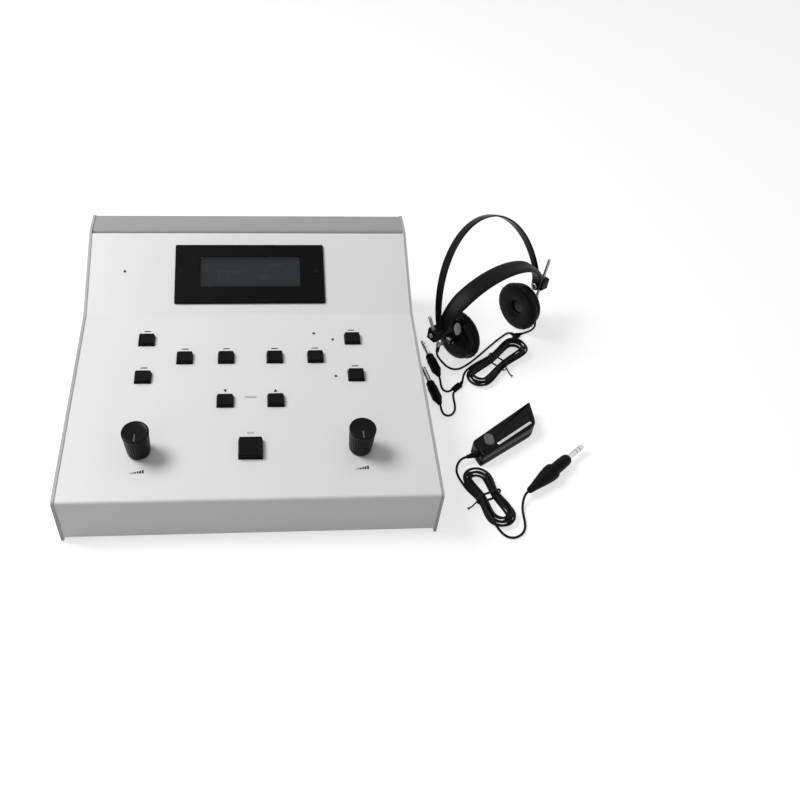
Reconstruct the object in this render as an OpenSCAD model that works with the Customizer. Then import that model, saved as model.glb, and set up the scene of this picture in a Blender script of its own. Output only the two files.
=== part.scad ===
// Two-channel diagnostic audiometer: desk console, double-band headset and
// patient response switch, laid out together as one set. Sizes in millimetres.
// Origin: the centre of the console's footprint, on the surface it stands on.

/* [Console] */
// Width over the side plates
console_w = 390; // [360:5:420]
// Depth of the lower panel, from the front fold to the crease
lower_run = 255; // [246:1:275]
// Height of the front fold
front_h = 62; // [56:1:75]
// Rise of the lower panel over its depth
lower_rise = 26; // [20:1:34]
// Depth of the upper panel
upper_run = 107; // [98:1:120]
// Rise of the upper panel over its depth
upper_rise = 47; // [42:1:54]
// Depth of the flat strip on top, at the rear
strip_run = 36; // [30:1:46]
// Thickness of the folded sheet
sheet_t = 2; // [1.6:0.1:2.4]
// Outside radius of the sheet's bends
bend_r = 3.5; // [3:0.25:5]
// Width of the folded flanges
flange_w = 16; // [12:1:18]
// Thickness of a side plate
side_t = 3; // [2.5:0.25:4]
// How far the side plates stand proud of the cover
side_proud = 1; // [0.6:0.1:1.6]
// Height of the cover above the table
cover_lift = 4; // [3.5:0.25:6]
// Height of the side plates above the table
side_lift = 1.5; // [1:0.25:3]
// Diameter of a rubber foot
foot_d = 16; // [12:1:20]
// Distance of a foot's centre from the console's edges
foot_inset = 34; // [30:1:50]
// Diameter of the case screws
screw_d = 3; // [2.5:0.25:3.5]
// Size of the blocks that join cover, sides and rear panel
block_size = 12; // [11:0.5:14]

/* [Keys and knobs] */
// Width of a small key
key_w = 18; // [15:0.5:19]
// Length of a small key, up the slope
key_l = 16; // [13:0.5:17]
// Height of a small key above the panel
key_h = 5; // [4:0.5:7]
// Side of the big tone key
tone_key_size = 25; // [22:0.5:28]
// Height of the big tone key above the panel
tone_key_h = 6.5; // [5:0.5:8]
// Travel of every key
key_travel = 1.2; // [0.8:0.1:1.3]
// Gap all round a key in its panel hole
key_gap = 0.4; // [0.3:0.05:0.6]
// Diameter of a key's stem
stem_d = 4; // [3.5:0.25:5]
// Distance of the middle key columns from the centre line
col_inner = 27.5; // [24:0.5:32]
// Distance of the next key columns
col_mid = 74; // [68:1:78]
// Distance of the outer key columns
col_outer = 118.5; // [112:0.5:124]
// Big key and knobs: distance up the slope from the front fold
row_front = 61; // [56:1:66]
// Down and up keys
row_arrow = 125; // [116:1:134]
// Lower keys of the outer columns
row_low = 160; // [155:1:164]
// Row of four keys
row_mid = 188; // [185:1:191]
// Upper keys of the outer columns
row_high = 216; // [212:1:219]
// Distance of the knobs from the centre line
knob_x = 114.5; // [105:0.5:122]
// Diameter of a knob at its foot
knob_d = 24; // [22:0.5:26]
// Diameter of a knob at its top
knob_top_d = 28; // [26:0.5:32]
// Height of a knob
knob_h = 33; // [27:1:35]
// Gap under a knob
knob_lift = 1; // [0.6:0.1:1.5]
// Diameter of a level encoder's shaft
shaft_d = 6; // [5:0.5:7]
// Depth of the key circuit board under the panel's face
key_board_depth = 16; // [15:0.5:18]
// Thickness of the circuit boards
board_t = 1.6; // [1.2:0.1:2]
// Diameter of the small indicator lights
light_d = 3; // [2.5:0.25:4]

/* [Display] */
// Width of the bezel
bezel_w = 180; // [176:1:200]
// Height of the bezel, up the slope
bezel_l = 80; // [76:1:84]
// Thickness of the bezel
bezel_t = 3; // [2.5:0.25:4]
// Distance of the bezel's lower edge from the crease
bezel_s = 15.5; // [13:0.5:18]
// Width of the window
window_w = 121; // [116:1:123]
// Height of the window
window_l = 41; // [38:0.5:43]
// Thickness of the window
window_t = 1.5; // [1:0.1:2]
// Depth of the display module's frame
module_d = 9.5; // [8:0.5:12]
// Distance of the bezel screws from the bezel's ends
bezel_screw_inset = 9; // [7.5:0.5:10]

/* [Rear panel] */
// Height of the row of sockets above the table
socket_z = 60; // [55:1:68]
// Radius of a quarter inch socket's bore
socket_r = 3.25; // [3.2:0.01:3.3]
// Depth of a quarter inch socket's bore
socket_depth = 32; // [31.5:0.5:34]
// Distance between neighbouring sockets
socket_pitch = 32; // [28:1:36]
// Distance of the outermost socket, and of the mains inlet, from the console's sides
rear_inset = 65; // [60:1:70]
// Width of the mains inlet's mouth
inlet_w = 24; // [23.5:0.1:24.5]
// Height of the mains inlet's mouth
inlet_l = 16.4; // [16:0.1:17]
// Depth of the mains inlet's mouth
inlet_depth = 16; // [15:0.5:18]
// Swing of the mains rocker between off and on
rocker_swing = 24; // [20:1:26]

/* [Headset] */
// Half the distance between the band ends, at the middle of the wide band
band_half = 84; // [80:0.5:88]
// Height of the wide band over the ear axis
wide_h = 57; // [52:1:66]
// Width of the wide band at its crown
wide_w = 24; // [20:1:28]
// Thickness of the wide band
wide_t = 5; // [4:0.25:6]
// Height of the thin band over the ear axis
thin_h = 118; // [110:1:126]
// Width of the thin band
thin_w = 12; // [10:0.5:14]
// Thickness of the thin band
thin_t = 2.2; // [1.6:0.1:2.6]
// Lean of the thin band to the rear
thin_lean = 22; // [15:1:30]
// Radius of an ear cushion
cushion_r = 33; // [31:0.5:36]
// Thickness of an ear cushion
cushion_t = 10; // [8.5:0.5:11]
// Radius of an earphone shell
shell_r = 30; // [28:0.5:30.5]
// Thickness of an earphone shell
shell_t = 9; // [8.5:0.5:10]
// Diameter of a slider rod
rod_d = 4; // [3.5:0.25:5]
// Travel of a slider rod in its block
rod_travel = 11; // [6:1:11]
// Diameter of the band rivets
rivet_d = 4; // [3:0.5:5]
// Diameter of the cups' hinge pins
pin_d = 3; // [2.5:0.25:3.5]

/* [Response switch] */
// Height of the hand case
switch_h = 20; // [18:0.5:24]
// Wall of the hand case
switch_wall = 2; // [1.6:0.1:2.4]
// Width of the push button
button_w = 11; // [9:0.5:13]
// Length of the push button
button_l = 17; // [15:0.5:19]
// Height of the push button over the case
button_h = 1.8; // [1.4:0.1:3]
// Travel of the push button
button_travel = 1; // [0.6:0.1:1.2]

/* [Cords and plugs] */
// Diameter of the two cords and the leads
cord_d = 2.8; // [2.4:0.1:3]
// Diameter of a quarter inch plug's pin
plug_pin_d = 6.35; // [6.3:0.01:6.4]
// Length of a quarter inch plug's pin
plug_pin_l = 31; // [30:0.5:31.5]
// Inside radius of the innermost loop of a hank
hank_inner_r = 8.4; // [8.4:0.1:9]

/* [Hidden] */
$fn = 48;

// Console outline, seen from the right: y to the rear, z up
console_d = lower_run + upper_run + strip_run;
y_front = -console_d / 2;
y_rear = console_d / 2;
y_crease = y_front + lower_run;
y_strip = y_crease + upper_run;
crease_z = front_h + lower_rise;
top_z = crease_z + upper_rise;
lower_tilt = atan2(lower_rise, lower_run);
upper_tilt = atan2(upper_rise, upper_run);
cover_half = console_w / 2 - side_t;
joint_gap = 0.2;
strip_flange = 14;
base_z = cover_lift + sheet_t;
screw_gap = 0.1;
run_gap = 0.05;
body_gap = 0.3;
seam = 0.05;
arc_step = 15;

cover_path = [[y_front + flange_w, cover_lift], [y_front, cover_lift], [y_front, front_h],
    [y_crease, crease_z], [y_strip, top_z], [y_strip, top_z - strip_flange]];
rear_path = [[y_strip + joint_gap, top_z - strip_flange], [y_strip + joint_gap, top_z],
    [y_rear, top_z], [y_rear, cover_lift], [y_rear - flange_w, cover_lift]];
side_path = [[y_front, side_lift], [y_front, front_h], [y_crease, crease_z], [y_strip, top_z],
    [y_rear, top_z], [y_rear, side_lift]];

// Small keys: distance from the centre line and up the slope
small_keys = [[-col_outer, row_high], [-col_outer, row_low], [-col_mid, row_mid],
    [-col_inner, row_mid], [col_inner, row_mid], [col_mid, row_mid], [col_outer, row_high],
    [col_outer, row_low], [-col_inner, row_arrow], [col_inner, row_arrow]];
all_keys = concat(small_keys, [[0, row_front]]);
flange_margin = 1.5;
flange_t = 1.2;
flange_top = -(sheet_t + body_gap);
stem_end = -(key_board_depth - 4.5);
switch_body_h = 6.5;
switch_body_w = 12;
switch_bore_end = stem_end - key_travel - 0.8;
board_half_w = console_w / 2 - 49;
board_s = [35, 240];
pillar_d = 6;
key_pillars = [[-board_half_w + 8, board_s[0] + 10], [board_half_w - 8, board_s[0] + 10],
    [-board_half_w + 8, board_s[1] - 8], [board_half_w - 8, board_s[1] - 8], [0, 98]];
lights = [[col_mid, row_high + 10], [col_outer - key_w / 2 - 14, row_high],
    [col_outer - key_w / 2 - 14, row_low]];
power_light = [-150, 60];
bushing_r = 4.5;
bushing_top = 4.5;
encoder_w = 14;
knob_floor = 6.5;
shaft_top = knob_lift + knob_h - 7;

// Display, measured up the upper panel from the crease
bezel_mid = bezel_s + bezel_l / 2;
window_mid = bezel_mid + 2.4;
window_rim = 3;
cutout_rim = 1;
bezel_screw_x = bezel_w / 2 - bezel_screw_inset;
module_pillar_r = 3.2;
module_w = 2 * (bezel_screw_x - module_pillar_r - 2.8);
module_l = window_l + 21;
module_skin = 1.5;
module_board_w = 2 * bezel_screw_x + 10;
glass_t = 3;
module_floor = -(sheet_t + module_d);

function left_of(a) = [cos(a + 90), sin(a + 90)];
function heading(p, q) = atan2(q[1] - p[1], q[0] - p[0]);
function turn_of(a, b) = (b - a + 540) % 360 - 180;

// One side of a folded sheet: path pts with bends of outside radius r, moved off to its right
function folded(pts, r, off) = let (last = len(pts) - 1) concat(
    [pts[0] - off * left_of(heading(pts[0], pts[1]))],
    [for (i = [1 : last - 1])
        let (a = heading(pts[i - 1], pts[i]), b = turn_of(a, heading(pts[i], pts[i + 1])),
            side = sign(b), reach = r * tan(abs(b) / 2), steps = ceil(abs(b) / arc_step),
            mid = pts[i] - reach * [cos(a), sin(a)] + r * side * left_of(a))
        for (k = [0 : steps]) mid - side * (r + side * off) * left_of(a + b * k / steps)],
    [pts[last] - off * left_of(heading(pts[last - 1], pts[last]))]);

function reversed(v) = [for (i = [len(v) - 1 : -1 : 0]) v[i]];

// Corner points of a rectangle w by l with round corners r, about the origin
function round_rect(w, l, r) = [for (q = [0 : 3]) for (k = [0 : 3])
    let (a = 90 * q + 30 * k, sx = (q == 0 || q == 3) ? 1 : -1, sy = q < 2 ? 1 : -1)
    [sx * (w / 2 - r) + r * cos(a), sy * (l / 2 - r) + r * sin(a)]];

module across(w) { translate([-w / 2, 0, 0]) rotate([90, 0, 90]) linear_extrude(w) children(); }

module folded_sheet(path, w) {
    across(w) polygon(concat(folded(path, bend_r, 0), reversed(folded(path, bend_r, sheet_t))));
}

module on_lower(x, s) {
    translate([x, y_front, front_h]) rotate([lower_tilt, 0, 0]) translate([0, s, 0]) children();
}

module on_upper(x, s) {
    translate([x, y_crease, crease_z]) rotate([upper_tilt, 0, 0]) translate([0, s, 0]) children();
}

module on_rear(x, z) { translate([x, y_rear, z]) rotate([-90, 180, 0]) children(); }

module block(w, l, z0, z1) { translate([-w / 2, -l / 2, z0]) cube([w, l, z1 - z0]); }

module round_block(w, l, r, z0, z1) {
    translate([0, 0, z0]) linear_extrude(z1 - z0) polygon(round_rect(w, l, r));
}

module polygon_block(points, z0, z1) { translate([0, 0, z0]) linear_extrude(z1 - z0) polygon(points); }

module rod(r, z0, z1) { translate([0, 0, z0]) cylinder(r = r, h = z1 - z0); }

// Pan head screw, seated at z = 0 with its shank downwards
module screw(d, shank) {
    rod(d * 0.95, 0, d * 0.5);
    rod(d / 2, -shank, 0.1);
}

// Places of the screws that hold the side plates, head outwards
side_screw_y = 150;
side_screw_z = base_z + 10;
block_places = [44, 226];
rear_block_z = 78;
rear_block_h = 24;
module at_side_screws() {
    for (s = [-1, 1]) {
        for (y = [-side_screw_y, side_screw_y])
            translate([s * console_w / 2, y, side_screw_z]) rotate([0, s * 90, 0]) children();
        for (p = block_places)
            on_lower(0, p) translate([s * console_w / 2, 0, -sheet_t - block_size / 2])
                rotate([0, s * 90, 0]) children();
        translate([s * console_w / 2, y_rear - sheet_t - block_size / 2, rear_block_z + 6])
            rotate([0, s * 90, 0]) children();
    }
}

module at_rear_screws() {
    for (s = [-1, 1])
        on_rear(s * (cover_half - block_size / 2), rear_block_z + rear_block_h - 6) children();
}

screw_shank = side_t + 7;
module screw_holes() {
    at_side_screws() rod(screw_d / 2 + screw_gap, -screw_shank - 1, 1);
    at_rear_screws() rod(screw_d / 2 + screw_gap, -screw_shank - 1, 1);
}

module top_cover() {
    color([0.91, 0.91, 0.91]) difference() {
        folded_sheet(cover_path, 2 * cover_half);
        for (p = small_keys)
            on_lower(p[0], p[1]) block(key_w + 2 * key_gap, key_l + 2 * key_gap, -2 * sheet_t, 1);
        on_lower(0, row_front)
            block(tone_key_size + 2 * key_gap, tone_key_size + 2 * key_gap, -2 * sheet_t, 1);
        for (s = [-1, 1]) on_lower(s * knob_x, row_front) rod(bushing_r + 0.2, -2 * sheet_t, 1);
        for (p = lights) on_lower(p[0], p[1]) rod(light_d / 2 + screw_gap, -2 * sheet_t, 1);
        on_upper(power_light[0], power_light[1]) rod(light_d / 2 + screw_gap, -2 * sheet_t, 1);
        on_upper(0, window_mid)
            block(window_w + 2 * cutout_rim, window_l + 2 * cutout_rim, -2 * sheet_t, 1);
        for (s = [-1, 1])
            on_upper(s * bezel_screw_x, window_mid) rod(screw_d / 2 + screw_gap, -2 * sheet_t, 1);
    }
}

module side_plate(s) {
    color([0.72, 0.72, 0.72]) difference() {
        translate([s * (console_w - side_t) / 2, 0, 0]) across(side_t)
            polygon(folded(side_path, bend_r, -side_proud));
        screw_holes();
    }
}
module left_side_plate() { side_plate(-1); }
module right_side_plate() { side_plate(1); }

socket_x = [for (i = [0 : 2]) console_w / 2 - rear_inset - socket_pitch * i];
socket_bush_r = 6;
inlet_x = rear_inset - console_w / 2;
inlet_wall = 1.5;
rocker_x = inlet_x + 46;
rocker_mouth = [11, 17];
rocker_wall = 1.5;

module rear_panel() {
    color([0.62, 0.62, 0.62]) difference() {
        folded_sheet(rear_path, 2 * cover_half);
        for (x = socket_x) on_rear(x, socket_z) rod(socket_bush_r + 0.2, -2 * sheet_t, 1);
        on_rear(inlet_x, socket_z)
            block(inlet_w + 2 * inlet_wall + 0.4, inlet_l + 2 * inlet_wall + 0.4, -2 * sheet_t, 1);
        on_rear(rocker_x, socket_z)
            block(rocker_mouth[0] + 2 * rocker_wall + 0.4, rocker_mouth[1] + 2 * rocker_wall + 0.4,
                -2 * sheet_t, 1);
        at_rear_screws() rod(screw_d / 2 + screw_gap, -2 * sheet_t, 1);
    }
}

base_front = y_front + bend_r + body_gap;
base_rear = y_rear - bend_r - body_gap;
base_flange_h = 18;
foot_x = console_w / 2 - foot_inset;
foot_y = console_d / 2 - foot_inset;
foot_stud_d = 5;
main_pillar_inset = 45;
main_pillar_pitch = [200, 130];
main_board_margin = 8;
main_pillar_start = [console_w / 2 - main_pillar_inset - main_pillar_pitch[0], -5];
main_pillars = [for (j = [0, 1]) for (i = [0, 1])
    main_pillar_start + [i * main_pillar_pitch[0], j * main_pillar_pitch[1]]];
main_board_z = base_z + sheet_t + 10;

module base_plate() {
    color([0.6, 0.6, 0.61]) difference() {
        translate([0, base_front, 0]) union() {
            translate([-cover_half, 0, base_z]) cube([2 * cover_half, base_rear - base_front, sheet_t]);
            for (x = [-cover_half, cover_half - sheet_t])
                translate([x, 0, base_z]) cube([sheet_t, base_rear - base_front, base_flange_h]);
        }
        for (sx = [-1, 1]) for (sy = [-1, 1])
            translate([sx * foot_x, sy * foot_y, base_z]) rod(foot_stud_d / 2 + 0.1, -1, sheet_t + 1);
        at_side_screws() rod(screw_d / 2 + screw_gap, -screw_shank, 1);
    }
}

module case_blocks() {
    color([0.75, 0.75, 0.76]) difference() {
        for (s = [-1, 1]) {
            for (p = block_places)
                on_lower(s * (cover_half - block_size / 2), p)
                    block(block_size, 20, -sheet_t - block_size, -sheet_t);
            translate([s * (cover_half - block_size / 2), y_rear - sheet_t - block_size / 2, 0])
                block(block_size, block_size, rear_block_z, rear_block_z + rear_block_h);
        }
        screw_holes();
    }
}

module case_screws() {
    color([0.5, 0.5, 0.5]) {
        at_side_screws() screw(screw_d, screw_shank);
        at_rear_screws() screw(screw_d, sheet_t + 7);
    }
}

module rubber_feet() {
    color([0.08, 0.08, 0.08]) for (sx = [-1, 1]) for (sy = [-1, 1])
        translate([sx * foot_x, sy * foot_y, 0]) {
            cylinder(d1 = foot_d - 2, d2 = foot_d, h = base_z);
            rod(foot_stud_d / 2, base_z - 0.1, base_z + sheet_t + 0.1);
            rod(foot_stud_d / 2 + 1, base_z + sheet_t, base_z + sheet_t + 1.5);
        }
}

module display_bezel() {
    color([0.03, 0.03, 0.03]) on_upper(0, bezel_mid) difference() {
        hull() {
            round_block(bezel_w, bezel_l, 1.5, 0, bezel_t - 0.8);
            round_block(bezel_w - 1.6, bezel_l - 1.6, 1.2, 0, bezel_t);
        }
        translate([0, window_mid - bezel_mid, 0]) {
            block(window_w, window_l, -1, bezel_t + 1);
            block(window_w + 2 * window_rim, window_l + 2 * window_rim, -1, window_t);
            for (s = [-1, 1])
                translate([s * bezel_screw_x, 0, 0]) rod(screw_d / 2 + screw_gap, -1, bezel_t + 1);
        }
    }
}

module bezel_screws() {
    color([0.2, 0.2, 0.2]) for (s = [-1, 1]) on_upper(s * bezel_screw_x, window_mid) {
        translate([0, 0, bezel_t]) screw(screw_d, bezel_t + sheet_t + module_d + board_t + 4);
        difference() {
            translate([0, 0, module_floor - board_t - 2.4]) cylinder(d = 6.4, h = 2.4, $fn = 6);
            rod(screw_d / 2 + screw_gap, module_floor - board_t - 3, module_floor);
        }
    }
}

module display_window() {
    color([0.25, 0.27, 0.28, 0.5]) on_upper(0, window_mid)
        block(window_w + 2 * window_rim - 0.4, window_l + 2 * window_rim - 0.4, 0, window_t);
}

module display_module() {
    on_upper(0, window_mid) {
        color([0.16, 0.16, 0.17]) difference() {
            block(module_w, module_l, module_floor + seam, -sheet_t);
            block(module_w - 2 * module_skin, module_l - 2 * module_skin, module_floor - 1,
                -sheet_t - module_skin);
            block(window_w + 2, window_l + 2, module_floor, 0);
        }
        color([0.05, 0.25, 0.12]) difference() {
            block(module_board_w, module_l + 6, module_floor - board_t, module_floor);
            for (s = [-1, 1])
                translate([s * bezel_screw_x, 0, 0])
                    rod(screw_d / 2 + screw_gap, module_floor - 3, module_floor + 1);
        }
    }
}

module display_glass() {
    color([0.16, 0.17, 0.17]) on_upper(0, window_mid)
        block(module_w - 2 * module_skin - 0.2, module_l - 2 * module_skin - 0.2,
            -sheet_t - module_skin - glass_t, -sheet_t - module_skin);
}

// A key: rounded cap with a chamfered top, a stop flange under the panel and a switch stem
module key(x, s, w, l, h) {
    chamfer = 0.8;
    color([0.06, 0.06, 0.06]) on_lower(x, s) {
        round_block(w, l, 1, flange_top - 0.1, h - chamfer);
        hull() {
            round_block(w, l, 1, h - 2 * chamfer, h - chamfer);
            round_block(w - 2 * chamfer, l - 2 * chamfer, 1, h - chamfer, h);
        }
        round_block(w + 2 * flange_margin, l + 2 * flange_margin, 1, flange_top - flange_t, flange_top);
        rod(stem_d / 2, stem_end, flange_top - flange_t + 0.1);
    }
}

module small_key(i) { key(small_keys[i][0], small_keys[i][1], key_w, key_l, key_h); }
module left_upper_key() { small_key(0); }
module left_lower_key() { small_key(1); }
module ear_key() { small_key(2); }
module pulse_key() { small_key(3); }
module store_key() { small_key(4); }
module mode_key() { small_key(5); }
module right_upper_key() { small_key(6); }
module right_lower_key() { small_key(7); }
module down_key() { small_key(8); }
module up_key() { small_key(9); }
module tone_key() { key(0, row_front, tone_key_size, tone_key_size, tone_key_h); }

module key_switches() {
    color([0.12, 0.12, 0.13]) for (p = all_keys) on_lower(p[0], p[1]) difference() {
        block(switch_body_w, switch_body_w, -key_board_depth, switch_body_h - key_board_depth);
        rod(stem_d / 2 + run_gap, switch_bore_end, 0);
    }
}

module key_board() {
    color([0.05, 0.25, 0.12]) on_lower(0, (board_s[0] + board_s[1]) / 2)
        block(2 * board_half_w, board_s[1] - board_s[0], -key_board_depth - board_t, -key_board_depth);
}

module board_pillars() {
    color([0.75, 0.7, 0.5]) {
        for (p = key_pillars) on_lower(p[0], p[1]) rod(pillar_d / 2, -key_board_depth, -sheet_t);
        for (p = main_pillars) translate([p[0], p[1], 0]) rod(pillar_d / 2, base_z + sheet_t, main_board_z);
        for (s = [-1, 1]) on_upper(s * bezel_screw_x, window_mid) difference() {
            rod(module_pillar_r, module_floor, -sheet_t);
            rod(screw_d / 2 + screw_gap, module_floor - 1, 0);
        }
    }
}

module level_knob(s) {
    color([0.05, 0.05, 0.05]) on_lower(s * knob_x, row_front) difference() {
        union() {
            translate([0, 0, knob_lift])
                cylinder(d1 = knob_d, d2 = knob_top_d, h = knob_h - 1.2);
            translate([0, 0, knob_lift + knob_h - 1.2])
                cylinder(d1 = knob_top_d, d2 = knob_top_d - 2.4, h = 1.2);
        }
        rod(bushing_r + 4.2, 0, knob_floor);
        rod(shaft_d / 2 + 0.03, 0, shaft_top + 0.3);
        translate([-0.8, -knob_top_d, knob_lift + knob_h - 0.7]) cube([1.6, knob_top_d - 5, 2]);
    }
}
module left_level_knob() { level_knob(-1); }
module right_level_knob() { level_knob(1); }

module level_shaft(s) {
    color([0.78, 0.78, 0.78]) on_lower(s * knob_x, row_front)
        rod(shaft_d / 2, 1.5 - key_board_depth, shaft_top);
}
module left_level_shaft() { level_shaft(-1); }
module right_level_shaft() { level_shaft(1); }

module level_encoders() {
    color([0.55, 0.56, 0.58]) for (s = [-1, 1]) on_lower(s * knob_x, row_front) {
        difference() {
            union() {
                block(encoder_w, encoder_w, -key_board_depth, -sheet_t);
                rod(bushing_r, -sheet_t - 0.1, bushing_top);
            }
            rod(shaft_d / 2 + run_gap, 1.2 - key_board_depth, bushing_top + 1);
        }
        difference() {
            cylinder(d = 14, h = 2.5, $fn = 6);
            rod(bushing_r + run_gap, -1, 3);
        }
    }
}

// Light pipe: domed tip, collar under the panel, foot at depth
module light(depth) {
    rod(light_d / 2, -depth, 0.2);
    translate([0, 0, 0.2]) intersection() {
        sphere(light_d / 2);
        rod(light_d, 0, light_d);
    }
    rod(light_d / 2 + 1, -sheet_t - 1, -sheet_t);
}

module indicator_lights() {
    color([0.35, 0.36, 0.36]) {
        for (p = lights) on_lower(p[0], p[1]) light(key_board_depth);
        on_upper(power_light[0], power_light[1]) light(8);
    }
}

main_board_mid = (main_pillars[0] + main_pillars[3]) / 2;
main_board_size = main_pillar_pitch + 2 * main_board_margin * [1, 1];
// Parts on the main board, from its middle
chips = [[-70, -40, 16, 30, 4], [-20, -40, 22, 22, 3], [20, -25, 10, 18, 4], [-65, 30, 30, 12, 5],
    [-10, 35, 18, 18, 3]];
capacitors = [[50, -40, 6], [70, -40, 6], [60, 0, 8], [60, 35, 5]];
capacitor_h = 22;

module main_board() {
    color([0.05, 0.25, 0.12]) translate([main_board_mid[0], main_board_mid[1], 0])
        block(main_board_size[0], main_board_size[1], main_board_z, main_board_z + board_t);
}

module board_components() {
    translate([main_board_mid[0], main_board_mid[1], main_board_z + board_t]) {
        color([0.08, 0.08, 0.09]) for (c = chips) translate([c[0], c[1], 0]) block(c[2], c[3], 0, c[4]);
        color([0.1, 0.12, 0.3]) for (c = capacitors) translate([c[0], c[1], 0]) rod(c[2], 0, capacitor_h);
    }
}

transformer_at = [inlet_x, 80];
transformer_size = [58, 48, 44];
module mains_transformer() {
    color([0.4, 0.38, 0.35]) translate([transformer_at[0], transformer_at[1], base_z + sheet_t]) {
        block(transformer_size[0], transformer_size[1] - 16, 0, transformer_size[2]);
        translate([0, 0, 7])
            round_block(transformer_size[0] - 24, transformer_size[1], 5, 0, transformer_size[2] - 14);
    }
}

inlet_pins = [[-7, -2], [7, -2], [0, 2]];
inlet_flange = [inlet_w + 14, inlet_l + 8, 2.5];
pin_reach = 11;
module mains_inlet() {
    on_rear(inlet_x, socket_z) {
        color([0.04, 0.04, 0.04]) difference() {
            union() {
                round_block(inlet_flange[0], inlet_flange[1], 2, 0, inlet_flange[2]);
                block(inlet_w + 2 * inlet_wall, inlet_l + 2 * inlet_wall, -inlet_depth - 3, 0.1);
            }
            translate([0, 0, inlet_flange[2] - inlet_depth - 2.5]) linear_extrude(inlet_depth + 3)
                polygon([[-inlet_w / 2, -inlet_l / 2], [inlet_w / 2, -inlet_l / 2],
                    [inlet_w / 2, inlet_l / 2 - 4], [inlet_w / 2 - 4, inlet_l / 2],
                    [4 - inlet_w / 2, inlet_l / 2], [-inlet_w / 2, inlet_l / 2 - 4]]);
            for (p = inlet_pins) translate([p[0], p[1], 0]) block(2, 4, -inlet_depth - 4, 0);
        }
        color([0.8, 0.8, 0.8]) for (p = inlet_pins) translate([p[0], p[1], 0])
            block(1.96, 3.96, -inlet_depth - 6, pin_reach - inlet_depth);
    }
}

rocker_pin_r = 1.5;
rocker_axis = -3;
rocker_tips = 7;
rocker_rise = 5;
module mains_switch_body() {
    color([0.04, 0.04, 0.04]) on_rear(rocker_x, socket_z) difference() {
        union() {
            round_block(rocker_mouth[0] + 6, rocker_mouth[1] + 6, 1.5, 0, 1.8);
            block(rocker_mouth[0] + 2 * rocker_wall, rocker_mouth[1] + 2 * rocker_wall, -15, 0.1);
        }
        block(rocker_mouth[0], rocker_mouth[1], -13, 3);
        translate([0, 0, rocker_axis]) rotate([0, 90, 0])
            rod(rocker_pin_r + run_gap, -rocker_mouth[0] / 2 - 1, rocker_mouth[0] / 2 + 1);
    }
}

module mains_rocker() {
    rocker_w = rocker_mouth[0] - 2 * body_gap;
    color([0.05, 0.05, 0.05]) on_rear(rocker_x, socket_z) translate([0, 0, rocker_axis])
        rotate([rocker_swing / 2, 0, 0]) {
            translate([-rocker_w / 2, 0, 0]) rotate([90, 0, 90]) linear_extrude(rocker_w)
                polygon([[-5, -4], [5, -4], [rocker_tips, rocker_rise], [0, rocker_rise - 2],
                    [-rocker_tips, rocker_rise]]);
            rotate([0, 90, 0]) rod(rocker_pin_r, -rocker_mouth[0] / 2 - 0.8, rocker_mouth[0] / 2 + 0.8);
        }
}

socket_floor = 3;
socket_body = [18, 16];
socket_nut = [17, 2.4];
socket_reach = 3.5;
module phone_sockets() {
    for (x = socket_x) on_rear(x, socket_z) {
        color([0.06, 0.06, 0.06]) difference() {
            union() {
                block(socket_body[0], socket_body[1], -socket_depth - socket_floor, -sheet_t);
                rod(socket_bush_r, -sheet_t - 0.1, socket_reach);
            }
            rod(socket_r, socket_reach - socket_depth, socket_reach + 1);
        }
        color([0.75, 0.75, 0.76]) difference() {
            cylinder(d = socket_nut[0], h = socket_nut[1], $fn = 6);
            rod(socket_bush_r + run_gap, -1, socket_nut[1] + 1);
        }
    }
}

// Headset. Its own frame: origin midway between the ears on the axis through the band
// rivets, x along that axis to the right ear, y to the rear of the head, z up
headset_at = [307.5, 108];
headset_turn = 32.6;
pivot_block = [13, 14, 16];
arm_r = 2.5;
arm_stop = 2.5;
cup_z = -(pivot_block[2] / 2 + rod_travel + arm_stop + arm_r);
ear_z = cushion_r - cup_z;
wide_lean = 4;
band_step = 7.5;
thin_half = band_half + wide_t / 2 + body_gap + thin_t / 2;
block_x = thin_half + thin_t / 2 + body_gap;
rod_x = block_x + pivot_block[0] / 2;
// Lean of each rod away from the head at its top: left, right
rod_lean = [24, 5];
rod_top = 37;
// Outer face of each earphone shell from the middle of the head: left, right
cup_face = [61, 72];
hinge_reach = 5.5;
lug_gap = 3.9;
lug_t = 3;
gland_l = 9;
grille_r = 9;

function side_index(s) = s < 0 ? 0 : 1;
function hinge_x(s) = cup_face[side_index(s)] + hinge_reach;
function rod_foot_x(s) = rod_x + cup_z * tan(rod_lean[side_index(s)]);

module headset(s) {
    translate([headset_at[0], headset_at[1], ear_z]) rotate([0, 0, headset_turn])
        mirror([s < 0 ? 1 : 0, 0, 0]) children();
}

function unit(v) = v / norm(v);

// Closed surface through rings of equal length, with its two ends capped
module skin(rings) {
    n = len(rings[0]);
    m = len(rings);
    polyhedron(points = [for (r = rings) each r],
        faces = concat(
            [[for (k = [0 : n - 1]) k]],
            [for (i = [0 : m - 2]) for (k = [0 : n - 1]) let (j = (k + 1) % n)
                each [[i * n + k, (i + 1) * n + j, i * n + j],
                    [i * n + k, (i + 1) * n + k, (i + 1) * n + j]]],
            [[for (k = [n - 1 : -1 : 0]) (m - 1) * n + k]]));
}

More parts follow.
